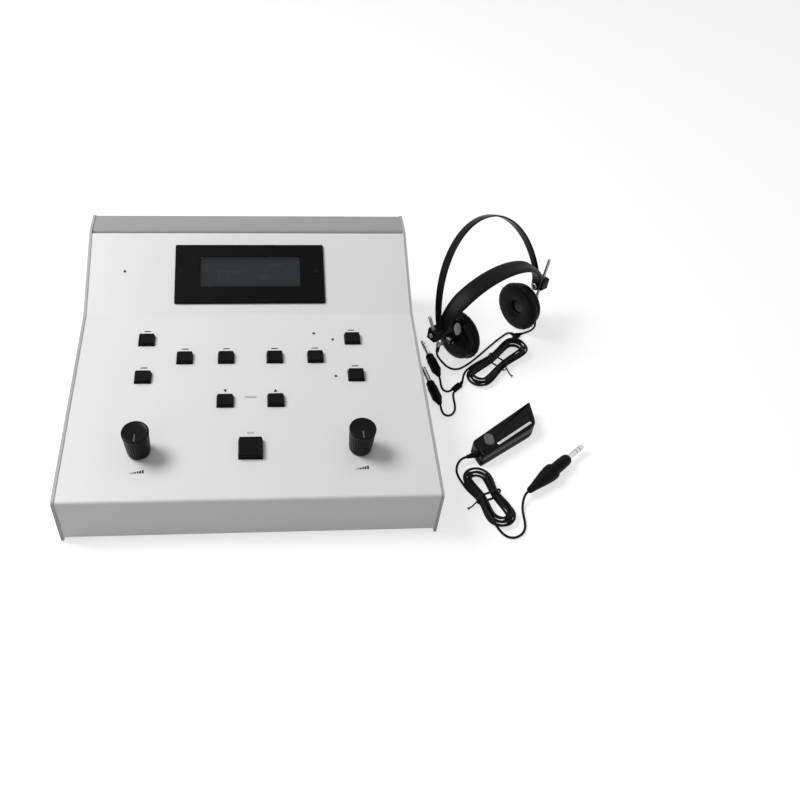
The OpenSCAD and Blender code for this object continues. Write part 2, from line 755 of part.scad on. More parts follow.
// Half ellipse of a band: half span a, height h, width w at its crown and w_end at its ends,
// crowned by c on its outer face
band_angles = concat([0, band_step / 2], [for (q = [band_step : band_step : 180 - band_step]) q],
    [180 - band_step / 2, 180]);
function band_rings(a, h, t, w, w_end, c) = [for (q = band_angles)
    let (p = [a * cos(q), h * sin(q)], out = unit([cos(q) / a, sin(q) / h]),
        half = (w_end + (w - w_end) * min(1, 1.5 * sin(q))) / 2)
    [for (e = [[-1, -1], [1, -1], [1, 0.4], [0.7, 1], [-0.7, 1], [-1, 0.4]])
        let (d = e[1] * t / 2 + (abs(e[0]) < 1 ? c * sin(q) : 0), g = p + d * out)
        [g[0], -e[0] * half, g[1]]]];

band_end_w = 13;
pad_crown = 1;
module wide_headband() {
    color([0.04, 0.04, 0.04]) headset(1) rotate([wide_lean, 0, 0]) difference() {
        union() {
            skin(band_rings(band_half, wide_h, wide_t, wide_w, band_end_w, pad_crown));
            for (s = [-1, 1]) translate([s * band_half, 0, 0]) rotate([0, 90, 0])
                rod(band_end_w / 2, -wide_t / 2, wide_t / 2);
        }
        rotate([0, 90, 0]) rod(rivet_d / 2 + run_gap, -thin_half, thin_half);
        for (s = [-1, 1]) mirror([s < 0 ? 1 : 0, 0, 0]) rotate([0, 90, 0])
            rod(rivet_d + body_gap, band_half - wide_t / 2 - 4, band_half - wide_t / 2);
    }
}

module thin_headband() {
    color([0.05, 0.05, 0.05]) headset(1) rotate([-thin_lean, 0, 0]) difference() {
        union() {
            skin(band_rings(thin_half, thin_h, thin_t, thin_w, thin_w * 0.8, 0));
            for (s = [-1, 1]) translate([s * thin_half, 0, 0]) rotate([0, 90, 0])
                rod(thin_w / 2, -thin_t / 2, thin_t / 2);
        }
        rotate([0, 90, 0]) rod(rivet_d / 2 + run_gap, -thin_half - thin_t, thin_half + thin_t);
    }
}

rivet_head_t = 1.2;
rivet_grip = 3.2;
module pivot_blocks() {
    for (s = [-1, 1]) headset(s) {
        color([0.06, 0.06, 0.06]) difference() {
            translate([rod_x, 0, 0])
                block(pivot_block[0], pivot_block[1], -pivot_block[2] / 2, pivot_block[2] / 2);
            translate([rod_x, 0, 0]) rotate([0, rod_lean[side_index(s)], 0])
                rod(rod_d / 2 + run_gap, -pivot_block[2], pivot_block[2]);
            rotate([0, 90, 0]) rod(rivet_d / 2 + 0.02, 0, block_x + rivet_grip + 0.2);
        }
        color([0.7, 0.7, 0.7]) rotate([0, 90, 0]) {
            rod(rivet_d, band_half - wide_t / 2 - rivet_head_t, band_half - wide_t / 2);
            rod(rivet_d / 2, band_half - wide_t / 2 - 0.1, block_x + rivet_grip);
        }
    }
}

// Slider rod: round rod, an arm inwards to the cup's hinge pin, and the lead's gland below
module slider_rod(s) {
    lean = rod_lean[side_index(s)];
    headset(s) {
        color([0.3, 0.3, 0.31]) {
            translate([rod_x, 0, 0]) rotate([0, lean, 0]) rod(rod_d / 2, cup_z / cos(lean), rod_top);
            translate([0, 0, cup_z]) {
                rotate([0, 90, 0]) rod(arm_r, hinge_x(s) + 2, rod_foot_x(s) + arm_r);
                translate([hinge_x(s), 0, 0]) block(6, 2 * lug_gap - 0.6, -3.5, 3.5);
                translate([hinge_x(s), 0, 0]) rotate([90, 0, 0])
                    rod(pin_d / 2, -lug_gap - lug_t, lug_gap + lug_t);
            }
        }
        color([0.05, 0.05, 0.05]) translate([rod_foot_x(s), 0, cup_z - arm_r - gland_l + 1])
            cylinder(d1 = cord_d + 1.6, d2 = 2 * arm_r, h = gland_l);
    }
}
module left_slider_rod() { slider_rod(-1); }
module right_slider_rod() { slider_rod(1); }

driver_r = 22;
driver_t = 5;
module earphone_shell(s) {
    face = cup_face[side_index(s)];
    color([0.05, 0.05, 0.05]) headset(s) translate([0, 0, cup_z]) difference() {
        union() {
            translate([face, 0, 0]) rotate([0, -90, 0]) rotate_extrude()
                polygon([[0, 0], [shell_r - 8, 0], [shell_r - 3, 1.2], [shell_r - 1, 3], [shell_r, 6],
                    [shell_r, shell_t], [0, shell_t]]);
            for (e = [-1, 1]) translate([face - 1, e * (lug_gap + lug_t / 2), 0])
                rotate([0, 90, 0]) block(8, lug_t, 0, hinge_reach + 4);
        }
        translate([hinge_x(s), 0, 0]) rotate([90, 0, 0])
            rod(pin_d / 2 + run_gap, -lug_gap - lug_t - 1, lug_gap + lug_t + 1);
        translate([face - shell_t, 0, 0]) rotate([0, 90, 0]) rod(driver_r + 0.2, -1, driver_t + 1);
    }
}
module left_earphone_shell() { earphone_shell(-1); }
module right_earphone_shell() { earphone_shell(1); }

// Ring cushion: flat back on the shell, crowned front, drawn-in rim and a round opening
module ear_cushion(s) {
    color([0.03, 0.03, 0.03]) headset(s)
        translate([cup_face[side_index(s)] - shell_t, 0, cup_z]) rotate([0, -90, 0]) rotate_extrude()
            polygon([[grille_r + 4, 0], [shell_r - 2, 0], [shell_r - 0.5, cushion_t * 0.18],
                [cushion_r - 1.2, cushion_t * 0.3], [cushion_r, cushion_t * 0.5],
                [cushion_r - 1.4, cushion_t * 0.74], [cushion_r - 5, cushion_t * 0.93],
                [(cushion_r + grille_r) / 2 + 2, cushion_t], [grille_r + 5, cushion_t * 0.93],
                [grille_r + 1, cushion_t * 0.7], [grille_r, cushion_t * 0.45]]);
}
module left_ear_cushion() { ear_cushion(-1); }
module right_ear_cushion() { ear_cushion(1); }

module earphone_driver(s) {
    color([0.4, 0.4, 0.4]) headset(s) translate([cup_face[side_index(s)] - shell_t, 0, cup_z])
        rotate([0, 90, 0]) {
            rod(driver_r, 0, driver_t);
            rod(grille_r, -2.5, 0.1);
        }
}
module left_earphone_driver() { earphone_driver(-1); }
module right_earphone_driver() { earphone_driver(1); }

// Response switch. Its own frame: origin at the middle of the case, x away from its cord
switch_at = [295.6, -72.1];
switch_turn = 35.5;
switch_outline = [[-44, 12], [-52, -12], [30, -15.5], [38, -13], [44, -6], [59, 14.5], [56, 15]];
button_at = [-28, 1];
button_turn = 55;
trim_at = [4, -9.5];
trim_size = [57, 3.4, 1];
split_z = switch_h * 0.45;

module response_frame() {
    translate([switch_at[0], switch_at[1], 0]) rotate([0, 0, switch_turn]) children();
}

module button_shape(grow) {
    w = button_w + 2 * grow;
    l = button_l - button_w;
    for (e = [-1, 1]) translate([0, e * l / 2]) circle(d = w);
    square([w, l], center = true);
}

module case_outline(inset) {
    offset(delta = -inset) polygon(switch_outline);
}

switch_gland_x = (switch_outline[0][0] + switch_outline[1][0]) / 2;
switch_end_turn = heading(switch_outline[1], switch_outline[0]) - 90;
switch_gland_z = split_z;
switch_gland_l = 12;
contact_size = [12, 12, 6];
response_hollow_top = switch_h - switch_wall;
button_stem_end = switch_wall + contact_size[2] - 2;

module at_button() {
    translate([button_at[0], button_at[1], 0]) rotate([0, 0, button_turn - 90]) children();
}

module response_case() {
    response_frame() {
        color([0.04, 0.04, 0.04]) difference() {
            polygon_block(switch_outline, 0, split_z);
            translate([0, 0, switch_wall]) linear_extrude(switch_h) case_outline(switch_wall);
        }
        color([0.05, 0.05, 0.05]) difference() {
            polygon_block(switch_outline, split_z + seam, switch_h);
            linear_extrude(response_hollow_top) case_outline(switch_wall);
            at_button() linear_extrude(switch_h + 1) button_shape(key_gap);
            translate([trim_at[0], trim_at[1], 0])
                block(trim_size[0] + 0.1, trim_size[1] + 0.1, switch_h - trim_size[2] + 0.4, switch_h + 1);
        }
        color([0.7, 0.7, 0.7]) translate([trim_at[0], trim_at[1], 0])
            block(trim_size[0], trim_size[1], switch_h - trim_size[2] + 0.4 + seam, switch_h + 0.4);
        color([0.1, 0.1, 0.11]) translate([button_at[0], button_at[1], 0]) difference() {
            block(contact_size[0], contact_size[1], switch_wall + seam, contact_size[2] + switch_wall);
            rod(stem_d / 2 + run_gap, button_stem_end - button_travel - 0.5, switch_h);
        }
        color([0.05, 0.05, 0.05]) translate([switch_gland_x, 0, switch_gland_z])
            rotate([0, -90, switch_end_turn]) translate([0, 0, seam])
                cylinder(d1 = 8, d2 = cord_d + 1.6, h = switch_gland_l - seam);
    }
}

module response_button() {
    color([0.42, 0.42, 0.42]) response_frame() {
        at_button() {
            translate([0, 0, response_hollow_top - body_gap - 0.1])
                linear_extrude(switch_h + button_h - response_hollow_top + body_gap + 0.1) button_shape(0);
            translate([0, 0, response_hollow_top - body_gap - 1.2]) linear_extrude(1.2)
                button_shape(1.2);
        }
        translate([button_at[0], button_at[1], 0])
            rod(stem_d / 2, button_stem_end, response_hollow_top - body_gap - 1);
    }
}

// Cords. Routes are points on the table, chosen by hand; hanks are worked out
cord_r = cord_d / 2;
cord_sides = 8;
tube_ref = unit([0.6, 0.2, 1]);
tie_t = 0.8;
tie_w = 3;

function tube_rings(path, r, sides) = let (last = len(path) - 1) [for (i = [0 : last])
    let (t = unit(path[min(i + 1, last)] - path[max(i - 1, 0)]), u = unit(cross(tube_ref, t)),
        v = cross(t, u))
    [for (k = [0 : sides - 1]) path[i] + r * (cos(360 * k / sides) * u + sin(360 * k / sides) * v)]];

module tube(path, sides) { skin(tube_rings(path, cord_r, sides)); }
module lead(path) { tube(path, cord_sides); }

// Hanks: [middle x, middle y, turn, half the distance between the end bends]
headset_hank_at = [316, 58.3, 42, 38];
response_hank_at = [259.2, -159, 109.5, 24];
loop_rings = 24;
waist_keep = 0.75;
hank_pitch = (cord_d + 0.95) / waist_keep;
layer_step = cord_d + 0.5;
hank_first = 4;
hank_last = 176;

function ramp(i, a, b) = min(1, max(0, (i - a) / (b - a)));

// Radius of the end bends at ring i: in, out, in and out again, level on each climb
function hank_radius(i) = hank_inner_r + hank_pitch / loop_rings *
    (max(0, 36 - i) + min(36, max(0, i - 48)) - min(36, max(0, i - 96)) + max(0, i - 144));

// Height of ring i: a layer up along each climbing run
function hank_height(i) = tie_t + cord_r + layer_step *
    (ramp(i, 40, 44) + ramp(i, 88, 92) + ramp(i, 136, 140));

// Point of ring i on a hank with bends at x = -c and x = c, drawn in at its waist
function hank_point(i, c) = let (j = i % loop_rings, r = hank_radius(i),
        q = j < 4 ? 22.5 * j : j < 8 ? 90 : j < 16 ? 90 + 22.5 * (j - 8) : j < 20 ? 270 : 22.5 * j - 180,
        run = j < 4 ? 1 : j < 8 ? 1 - (j - 4) / 2 : j < 16 ? -1 : j < 20 ? (j - 16) / 2 - 1 : 1,
        keep = 1 - (1 - waist_keep) * pow(cos(90 * run), 2))
    [c * run + r * cos(q), r * sin(q) * keep, hank_height(i)];

function hank_path(c) = concat(
    [hank_point(hank_first, c) + [cord_d, 0, 0]],
    [for (i = [hank_first : hank_last]) hank_point(i, c)],
    [hank_point(hank_last, c) - [cord_d, 0, 0]]);

function least_gap(p) = min([for (i = [0 : len(p) - 13]) for (j = [i + 12 : len(p) - 1])
    norm(p[i] - p[j])]) - cord_d;

function turned(p, h) = [h[0] + p[0] * cos(h[2]) - p[1] * sin(h[2]),
    h[1] + p[0] * sin(h[2]) + p[1] * cos(h[2]), p[2]];

function hank_start(h, out) = turned(hank_point(hank_first, h[3]) + [out, 0, 0], h);
function hank_end(h, out) = turned(hank_point(hank_last, h[3]) - [out, 0, 0], h);

module hank(h) {
    path = hank_path(h[3]);
    echo(least_gap_of_hank = least_gap(path));
    translate([h[0], h[1], 0]) rotate([0, 0, h[2]]) tube(path, 6);
}

module headset_hank() { color([0.05, 0.05, 0.05]) hank(headset_hank_at); }
module response_hank() { color([0.05, 0.05, 0.05]) hank(response_hank_at); }

split_size = [10, 8, 5];
ear_split = [355, 113.5];
plug_split = [258, 18.5];
left_lead_route = [[235.8, 62.1, 22.2], [235.9, 62.1, 19], [237.6, 61.7, 14.5], [240.8, 60.7, 10],
    [244.8, 58.7, 6], [249.5, 55.5, 3], [255, 52.2, 1.6], [262, 51, 1.4], [270, 54, 1.4],
    [282, 63, 1.4], [298, 78, 1.4], [314, 94, 1.4], [328, 107.5, 1.4], [336, 114.5, 1.4],
    [341, 118.6, 1.5], [346, 120.9, 1.8], [350, 119.2, 2.2], [352.3, 116.4, 2.5]];
right_lead_route = [[386.4, 158.5, 22.2], [386.4, 158.3, 18.5], [387, 156.5, 14], [388, 153, 9.5],
    [388.6, 148, 5.5], [388, 142, 2.6], [385.6, 135, 1.5], [381, 129, 1.4], [375, 124.5, 1.5],
    [367, 120.5, 1.9], [358.7, 116.8, 2.5]];
plug_tail_route = [[270.3, 37.4, 11.3], [267, 33, 8.6], [265.6, 29, 5.4], [264.6, 25.6, 3.2],
    [261.7, 21.8, 2.5]];
left_plug_route = [[253, 16.4, 2.5], [248.5, 12.6, 1.8], [243.8, 10.6, 1.4], [239.8, 12.2, 1.4],
    [237.4, 16.2, 1.8], [236.6, 22, 3.2], [236.4, 28, 5], [236, 34, 6.2]];
right_plug_route = [[255.5, 13.5, 2.5], [251.8, 9.8, 1.8], [249.4, 4, 1.4], [248.8, -4, 1.4],
    [248.4, -14, 1.4], [246.6, -22, 1.4], [242.6, -28.4, 1.4], [236.8, -31.2, 1.6],
    [231.6, -29, 2.8], [229.4, -23, 4.8], [229, -16, 6.2]];
response_lead_route = [[245, -103.5, 9], [242.3, -104.3, 9], [238, -106.2, 8], [234.4, -109.6, 6],
    [232.2, -114, 4], [231.3, -119, 2.8], [231.6, -124, 2.2], [233.2, -130.8, 2.2]];
response_tail_route = [[256.2, -195.6, 11.4], [259.4, -201.4, 8.6], [263.8, -206.2, 5.2],
    [269.4, -209.6, 2.6], [275.8, -210.6, 1.5], [282.4, -208.8, 1.4], [288, -204.6, 1.4],
    [291.8, -198, 1.4], [293.4, -190, 1.4], [294, -181, 1.4], [294.8, -172.5, 2.6],
    [297.2, -164, 6.2], [300.8, -158, 8.8], [304.5, -155, 9.5]];

module splitter(at) {
    translate([at[0], at[1], 0]) rotate([0, 0, headset_hank_at[2]])
        round_block(split_size[0], split_size[1], 2, 0, split_size[2]);
}

function split_face(at, along) = [at[0] + along * split_size[0] / 2 * cos(headset_hank_at[2]),
    at[1] + along * split_size[0] / 2 * sin(headset_hank_at[2]), split_size[2] / 2];

module headset_cord() {
    color([0.05, 0.05, 0.05]) {
        lead(left_lead_route);
        lead(right_lead_route);
        lead([hank_start(headset_hank_at, cord_d), hank_start(headset_hank_at, 3 * cord_d),
            split_face(ear_split, -1)]);
        lead(concat([hank_end(headset_hank_at, cord_d)], plug_tail_route));
        lead(left_plug_route);
        lead(right_plug_route);
        splitter(ear_split);
        splitter(plug_split);
    }
}

module response_cord() {
    color([0.05, 0.05, 0.05]) {
        lead(concat(response_lead_route, [hank_start(response_hank_at, cord_d)]));
        lead(concat([hank_end(response_hank_at, cord_d)], response_tail_route));
    }
}

// Quarter inch plug along +x: handle of [length, radius] stages, its pin set in the handle
pin_set = 8;
module plug(stages, at, turn) {
    rear_l = stages[0][0];
    grip_l = rear_l + stages[1][0];
    handle_l = grip_l + stages[2][0];
    pin_r = plug_pin_d / 2;
    translate(at) rotate([0, 90, turn]) {
        color([0.05, 0.05, 0.05]) difference() {
            union() {
                cylinder(r1 = stages[0][1], r2 = stages[1][1], h = rear_l);
                rod(stages[1][1], rear_l, grip_l);
                rod(stages[2][1], grip_l, handle_l);
            }
            rod(pin_r + 0.02, handle_l - pin_set, handle_l + 1);
        }
        color([0.75, 0.74, 0.72]) translate([0, 0, handle_l]) rotate_extrude()
            polygon([[0, seam - pin_set], [pin_r, seam - pin_set], [pin_r, plug_pin_l - 9],
                [pin_r - 0.6, plug_pin_l - 8.4], [pin_r - 0.6, plug_pin_l - 7.2],
                [pin_r, plug_pin_l - 6], [pin_r - 0.6, plug_pin_l - 2], [1, plug_pin_l], [0, plug_pin_l]]);
    }
}

phone_handle = [[10, 3.2], [20, 6.2], [8, 5.4]];
response_handle = [[38, 4], [7, 9.5], [28, 7]];
left_plug_at = [236, 34];
right_plug_at = [229, -16];
phone_plug_turn = 100;
response_plug_at = [304.5, -155];
response_plug_turn = 39;

module headset_plugs() {
    for (p = [left_plug_at, right_plug_at])
        plug(phone_handle, [p[0], p[1], phone_handle[1][1]], phone_plug_turn);
}

module response_plug() {
    plug(response_handle, [response_plug_at[0], response_plug_at[1], response_handle[1][1]],
        response_plug_turn);
}

hank_h = 3 * layer_step + cord_d;
hank_waist = 2 * ((hank_inner_r + 1.5 * hank_pitch) * waist_keep + cord_r) + 0.4;
module cord_tie(h, side) {
    translate([h[0], h[1], 0]) rotate([0, 0, h[2]]) {
        translate([-tie_w / 2, 0, tie_t + hank_h / 2]) rotate([90, 0, 90]) linear_extrude(tie_w)
            difference() {
                polygon(round_rect(hank_waist + 2 * tie_t, hank_h + 2 * tie_t, 1.6));
                polygon(round_rect(hank_waist, hank_h + 0.02, 0.8));
            }
        skin(tube_rings([for (p = [[0, 0, 6], [-2, 4, 5], [-3, 8, 3], [-3, 13, 1]])
            [p[0], side * (hank_waist / 2 + tie_t + p[1] - 0.2), p[2]]], 0.9, 6));
    }
}

module cord_ties() {
    color([0.12, 0.12, 0.12]) {
        cord_tie(headset_hank_at, -1);
        cord_tie(response_hank_at, 1);
    }
}

top_cover();
left_side_plate();
right_side_plate();
rear_panel();
base_plate();
case_blocks();
case_screws();
rubber_feet();
display_bezel();
bezel_screws();
display_window();
display_module();
display_glass();
left_upper_key();
left_lower_key();
ear_key();
pulse_key();
store_key();
mode_key();
right_upper_key();
right_lower_key();
down_key();
up_key();
tone_key();
key_switches();
key_board();
board_pillars();
left_level_knob();
right_level_knob();
left_level_shaft();
right_level_shaft();
level_encoders();
indicator_lights();
main_board();
board_components();
mains_transformer();
mains_inlet();
mains_switch_body();
mains_rocker();
phone_sockets();
wide_headband();
thin_headband();
pivot_blocks();
left_slider_rod();
right_slider_rod();
left_earphone_shell();
right_earphone_shell();
left_ear_cushion();
right_ear_cushion();
left_earphone_driver();
right_earphone_driver();
headset_cord();
headset_hank();
headset_plugs();
response_case();
response_button();
response_cord();
response_hank();
response_plug();
cord_ties();
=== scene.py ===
# Desk audiometer with its headset and response switch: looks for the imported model
import math

import bpy
import numpy as np
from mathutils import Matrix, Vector


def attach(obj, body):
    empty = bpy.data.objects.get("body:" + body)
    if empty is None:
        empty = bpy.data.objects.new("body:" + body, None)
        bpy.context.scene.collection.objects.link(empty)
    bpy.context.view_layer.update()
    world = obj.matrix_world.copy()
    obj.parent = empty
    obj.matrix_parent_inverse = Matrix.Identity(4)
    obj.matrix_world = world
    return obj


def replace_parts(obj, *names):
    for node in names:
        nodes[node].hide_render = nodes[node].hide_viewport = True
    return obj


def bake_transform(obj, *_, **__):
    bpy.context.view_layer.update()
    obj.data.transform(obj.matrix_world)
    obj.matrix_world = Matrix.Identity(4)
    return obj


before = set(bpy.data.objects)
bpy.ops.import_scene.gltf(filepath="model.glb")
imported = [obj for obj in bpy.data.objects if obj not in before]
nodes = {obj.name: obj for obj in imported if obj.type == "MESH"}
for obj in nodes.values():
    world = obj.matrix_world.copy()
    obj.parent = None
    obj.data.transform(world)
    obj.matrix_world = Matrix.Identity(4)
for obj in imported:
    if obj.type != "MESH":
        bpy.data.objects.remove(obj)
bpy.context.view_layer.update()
print("stage: frame loaded")

mm = 0.001


# Camera, where the photograph was taken from
camera = bpy.data.objects.new("viewCamera", bpy.data.cameras.new("viewCamera"))
camera.location = (0.011748, -0.698339, 0.705536)
camera.rotation_euler = (0.782, -0.042, -0.060)
camera.data.sensor_width = 36
camera.data.lens = 36.558
camera.data.shift_x = 0.1
bpy.context.scene.collection.objects.link(camera)
bpy.context.scene.camera = camera


def unit(v):
    v = np.asarray(v, float)
    return v / np.linalg.norm(v, axis=-1, keepdims=True)


# One object from points and faces, riding on a body, with edges over an angle in degrees kept sharp
def addPiece(name, points, faces, finish, body, slot, sharp=35):
    mesh = bpy.data.meshes.new(name)
    mesh.from_pydata(np.asarray(points, float).tolist(), [], [list(map(int, f)) for f in faces])
    mesh.shade_smooth()
    mesh.set_sharp_from_angle(angle=math.radians(sharp))
    mesh.materials.append(finish)
    piece = bpy.data.objects.new(name, mesh)
    bpy.context.scene.collection.objects.link(piece)
    if body:
        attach(piece, body)
    return piece


# Several parts of one piece as one list of points and one list of faces
def joined(parts):
    points, faces, start = [], [], 0
    for p, f in parts:
        points.append(np.asarray(p, float).reshape(-1, 3))
        faces += [[int(i) + start for i in face] for face in f]
        start += len(points[-1])
    return np.concatenate(points), faces


# Skin over a grid of rings (ring, place on it, xyz), each closed on itself, with flat end caps.
# The sum of the signed volumes under its faces says whether they have to be turned over.
def closedSkin(rings, looped=False):
    count, sides = rings.shape[:2]
    i, k = np.meshgrid(np.arange(count if looped else count - 1), np.arange(sides), indexing="ij")
    j, n = (k + 1) % sides, (i + 1) % count
    quads = np.stack([i * sides + k, i * sides + j, n * sides + j, n * sides + k], -1).reshape(-1, 4)
    points = rings.reshape(-1, 3)
    a, b, c, d = (points[quads[:, m]] for m in range(4))
    volume = (np.einsum("ij,ij->", a, np.cross(b, c)) + np.einsum("ij,ij->", a, np.cross(c, d))) / 6
    first, last = np.arange(sides)[::-1], (count - 1) * sides + np.arange(sides)
    if not looped:
        for cap in (first, last):
            fan = points[cap]
            volume += np.einsum("ij,ij->", np.broadcast_to(fan[0], fan[1:-1].shape),
                                np.cross(fan[1:-1], fan[2:])) / 6
    faces = quads.tolist() + ([] if looped else [first.tolist(), last.tolist()])
    if volume < 0:
        faces = [f[::-1] for f in faces]
    return points, faces


# Rings of a tube: each point of the path plus radius times (cos a, sin a) in the plane across it
def tubeRings(path, radius, sides):
    path = np.asarray(path, float)
    along = unit(np.gradient(path, axis=0))
    side = unit(np.cross(unit([0.6, 0.2, 1.0]), along))
    up = np.cross(along, side)
    a = np.arange(sides) * 2 * np.pi / sides
    radius = np.broadcast_to(np.asarray(radius, float), (len(path),))[:, None, None]
    return path[:, None] + radius * (np.cos(a)[:, None] * side[:, None] + np.sin(a)[:, None] * up[:, None])


# Rings of a turned shape: profile of (distance along the axis, radius), turned about an axis
def turnedRings(profile, at, axis, sides=48, flutes=None):
    profile = np.asarray(profile, float)
    axis = unit(axis)
    side = unit(np.cross(axis, [0.31, 0.2, 0.93] if abs(axis[2]) < 0.9 else [0.0, 1.0, 0.0]))
    up = np.cross(axis, side)
    a = np.arange(sides) * 2 * np.pi / sides
    radius = np.repeat(profile[:, 1][:, None], sides, 1)
    if flutes is not None:
        radius = radius + flutes(profile[:, 0][:, None], a[None])
    return (np.asarray(at, float) + profile[:, 0][:, None, None] * axis
            + radius[..., None] * (np.cos(a)[None, :, None] * side + np.sin(a)[None, :, None] * up))


def turned(profile, at, axis, sides=48, flutes=None, looped=False):
    return closedSkin(turnedRings(profile, at, axis, sides, flutes), looped)


# Even steps along a Catmull-Rom curve through the points
def smoothPath(points, step):
    p = np.asarray(points, float)
    p = np.vstack([2 * p[0] - p[1], p, 2 * p[-1] - p[-2]])
    t = np.linspace(0, 1, 24, endpoint=False)[:, None]
    a, b, c, d = (p[k:len(p) - 3 + k, None] for k in range(4))
    curve = ((2 * b + (c - a) * t + (2 * a - 5 * b + 4 * c - d) * t ** 2
              + (3 * b - a - 3 * c + d) * t ** 3) / 2).reshape(-1, 3)
    return evenSteps(np.vstack([curve, p[-2]]), step)


def evenSteps(curve, step):
    length = np.concatenate([[0], np.cumsum(np.linalg.norm(np.diff(curve, axis=0), axis=1))])
    places = np.linspace(0, length[-1], max(2, int(round(length[-1] / step))) + 1)
    return np.stack([np.interp(places, length, curve[:, k]) for k in range(3)], 1)


# Running mean along a path with its two ends held, which rounds off the joins between stretches
def softened(path, rounds):
    path = path.copy()
    for _ in range(rounds):
        path[1:-1] = (path[:-2] + 2 * path[1:-1] + path[2:]) / 4
    return path


def pathLength(path):
    return float(np.linalg.norm(np.diff(path, axis=0), axis=1).sum())


# Box with round edges: a grid on each side of the box, each point held to an inner box that is
# smaller by r all round, then pushed out from there by r
def roundedBox(size, radius, steps=4):
    size = np.asarray(size, float) / 2
    reach = radius * np.tan(np.linspace(0, np.pi / 4, steps))
    lines = [np.concatenate([-(h - radius) - reach[::-1], h - radius + reach]) for h in size]
    n = 2 * steps
    grid = np.arange(n * n).reshape(n, n)
    quads = np.stack([grid[:-1, :-1], grid[1:, :-1], grid[1:, 1:], grid[:-1, 1:]], -1).reshape(-1, 4)
    parts = []
    for k in range(3):
        for s in (-1, 1):
            u, v = np.meshgrid(lines[(k + 1) % 3], lines[(k + 2) % 3], indexing="ij")
            face = [None] * 3
            face[k], face[(k + 1) % 3], face[(k + 2) % 3] = np.full_like(u, s * size[k]), u, v
            p = np.stack(face, -1)
            inner = np.clip(p, -(size - radius), size - radius)
            parts.append(((inner + radius * unit(p - inner)).reshape(-1, 3),
                          (quads if s > 0 else quads[:, ::-1]).tolist()))
    # The sides share the points of their edges
    points, faces = joined(parts)
    _, first, same = np.unique(np.round(points, 8), axis=0, return_index=True, return_inverse=True)
    same = same.ravel().tolist()
    return points[first], [[same[i] for i in face] for face in faces]


# Points moved from their own frame, x y z along three directions, to a place
def placed(points, at, x, y, z):
    return np.asarray(at, float) + np.asarray(points, float) @ np.array([x, y, z], float)


# Points turned about the vertical by an angle in radians, then moved to a place
def turnedTo(points, at, angle):
    c, s = math.cos(angle), math.sin(angle)
    return placed(points, at, (c, s, 0), (-s, c, 0), (0, 0, 1))


# A shader value that takes part in Python sums, each of which adds a Math node
class Field:
    def __init__(self, tree, socket):
        self.tree, self.socket = tree, socket

    def sum(self, operation, *values):
        node = self.tree.nodes.new("ShaderNodeMath")
        node.operation = operation
        for place, value in enumerate(values):
            if isinstance(value, Field):
                self.tree.links.new(value.socket, node.inputs[place])
            else:
                node.inputs[place].default_value = value
        return Field(self.tree, node.outputs[0])

    def __add__(self, other): return self.sum("ADD", self, other)
    def __sub__(self, other): return self.sum("SUBTRACT", self, other)
    def __rsub__(self, other): return self.sum("SUBTRACT", other, self)
    def __mul__(self, other): return self.sum("MULTIPLY", self, other)
    def clamped(self): return self.sum("MINIMUM", self.sum("MAXIMUM", self, 0.0), 1.0)


# A material: one Principled shader and the fields that feed it, read on Object coordinates
class Finish:
    def __init__(self, name, color, roughness, **fixed):
        self.material = bpy.data.materials.new(name)
        self.material.use_nodes = True
        self.tree = self.material.node_tree
        self.shader = self.tree.nodes["Principled BSDF"]
        self.color = (*color, 1.0)
        self.shader.inputs["Base Color"].default_value = self.color
        self.shader.inputs["Roughness"].default_value = roughness
        self.roughness = roughness
        for socket, value in fixed.items():
            self.shader.inputs[socket.replace("_", " ")].default_value = value
        self.height = None
        self.place = self.node("ShaderNodeTexCoord").outputs["Object"]

    # Any node: its type, its settings, and the values or links of its sockets
    def node(self, kind, settings=None, **sockets):
        node = self.tree.nodes.new(kind)
        for key, value in (settings or {}).items():
            setattr(node, key, value)
        for key, value in sockets.items():
            socket = node.inputs[int(key[1:])] if key[0] == "_" else node.inputs[key]
            if isinstance(value, Field):
                value = value.socket
            if isinstance(value, bpy.types.NodeSocket):
                self.tree.links.new(value, socket)
            else:
                socket.default_value = value
        return node

    def field(self, socket):
        return Field(self.tree, socket)

    # Soft noise from 0 to 1: features about size metres across
    def noise(self, size, detail=2.0, stretch=(1, 1, 1)):
        place = self.node("ShaderNodeMapping", Vector=self.place, Scale=stretch).outputs[0]
        made = self.node("ShaderNodeTexNoise", Vector=place, Scale=1 / size, Detail=detail)
        return self.field(made.outputs[0])

    # Distance to the nearest of scattered points, size metres apart
    def cells(self, size, feature="F1"):
        made = self.node("ShaderNodeTexVoronoi", {"feature": feature}, Vector=self.place, Scale=1 / size)
        return self.field(made.outputs["Distance"])

    # Colour goes from the finish's own to another where the field is 1
    def tint(self, field, color):
        before = self.shader.inputs["Base Color"]
        start = before.links[0].from_socket if before.links else self.color
        mixed = self.node("ShaderNodeMix", {"data_type": "RGBA"}, _0=field, _6=start, _7=(*color, 1.0))
        self.tree.links.new(mixed.outputs[2], before)
        return self

    def rough(self, field, spread):
        total = (field - 0.5) * spread + self.roughness
        self.tree.links.new(total.clamped().socket, self.shader.inputs["Roughness"])
        return self

    # Height in metres, added to what is there, and read by one Bump node
    def relief(self, field, depth):
        self.height = field * depth if self.height is None else self.height + field * depth
        return self

    def done(self):
        if self.height is not None:
            bump = self.node("ShaderNodeBump", Strength=1.0, Distance=1.0, Height=self.height)
            self.tree.links.new(bump.outputs[0], self.shader.inputs["Normal"])
        return self.material


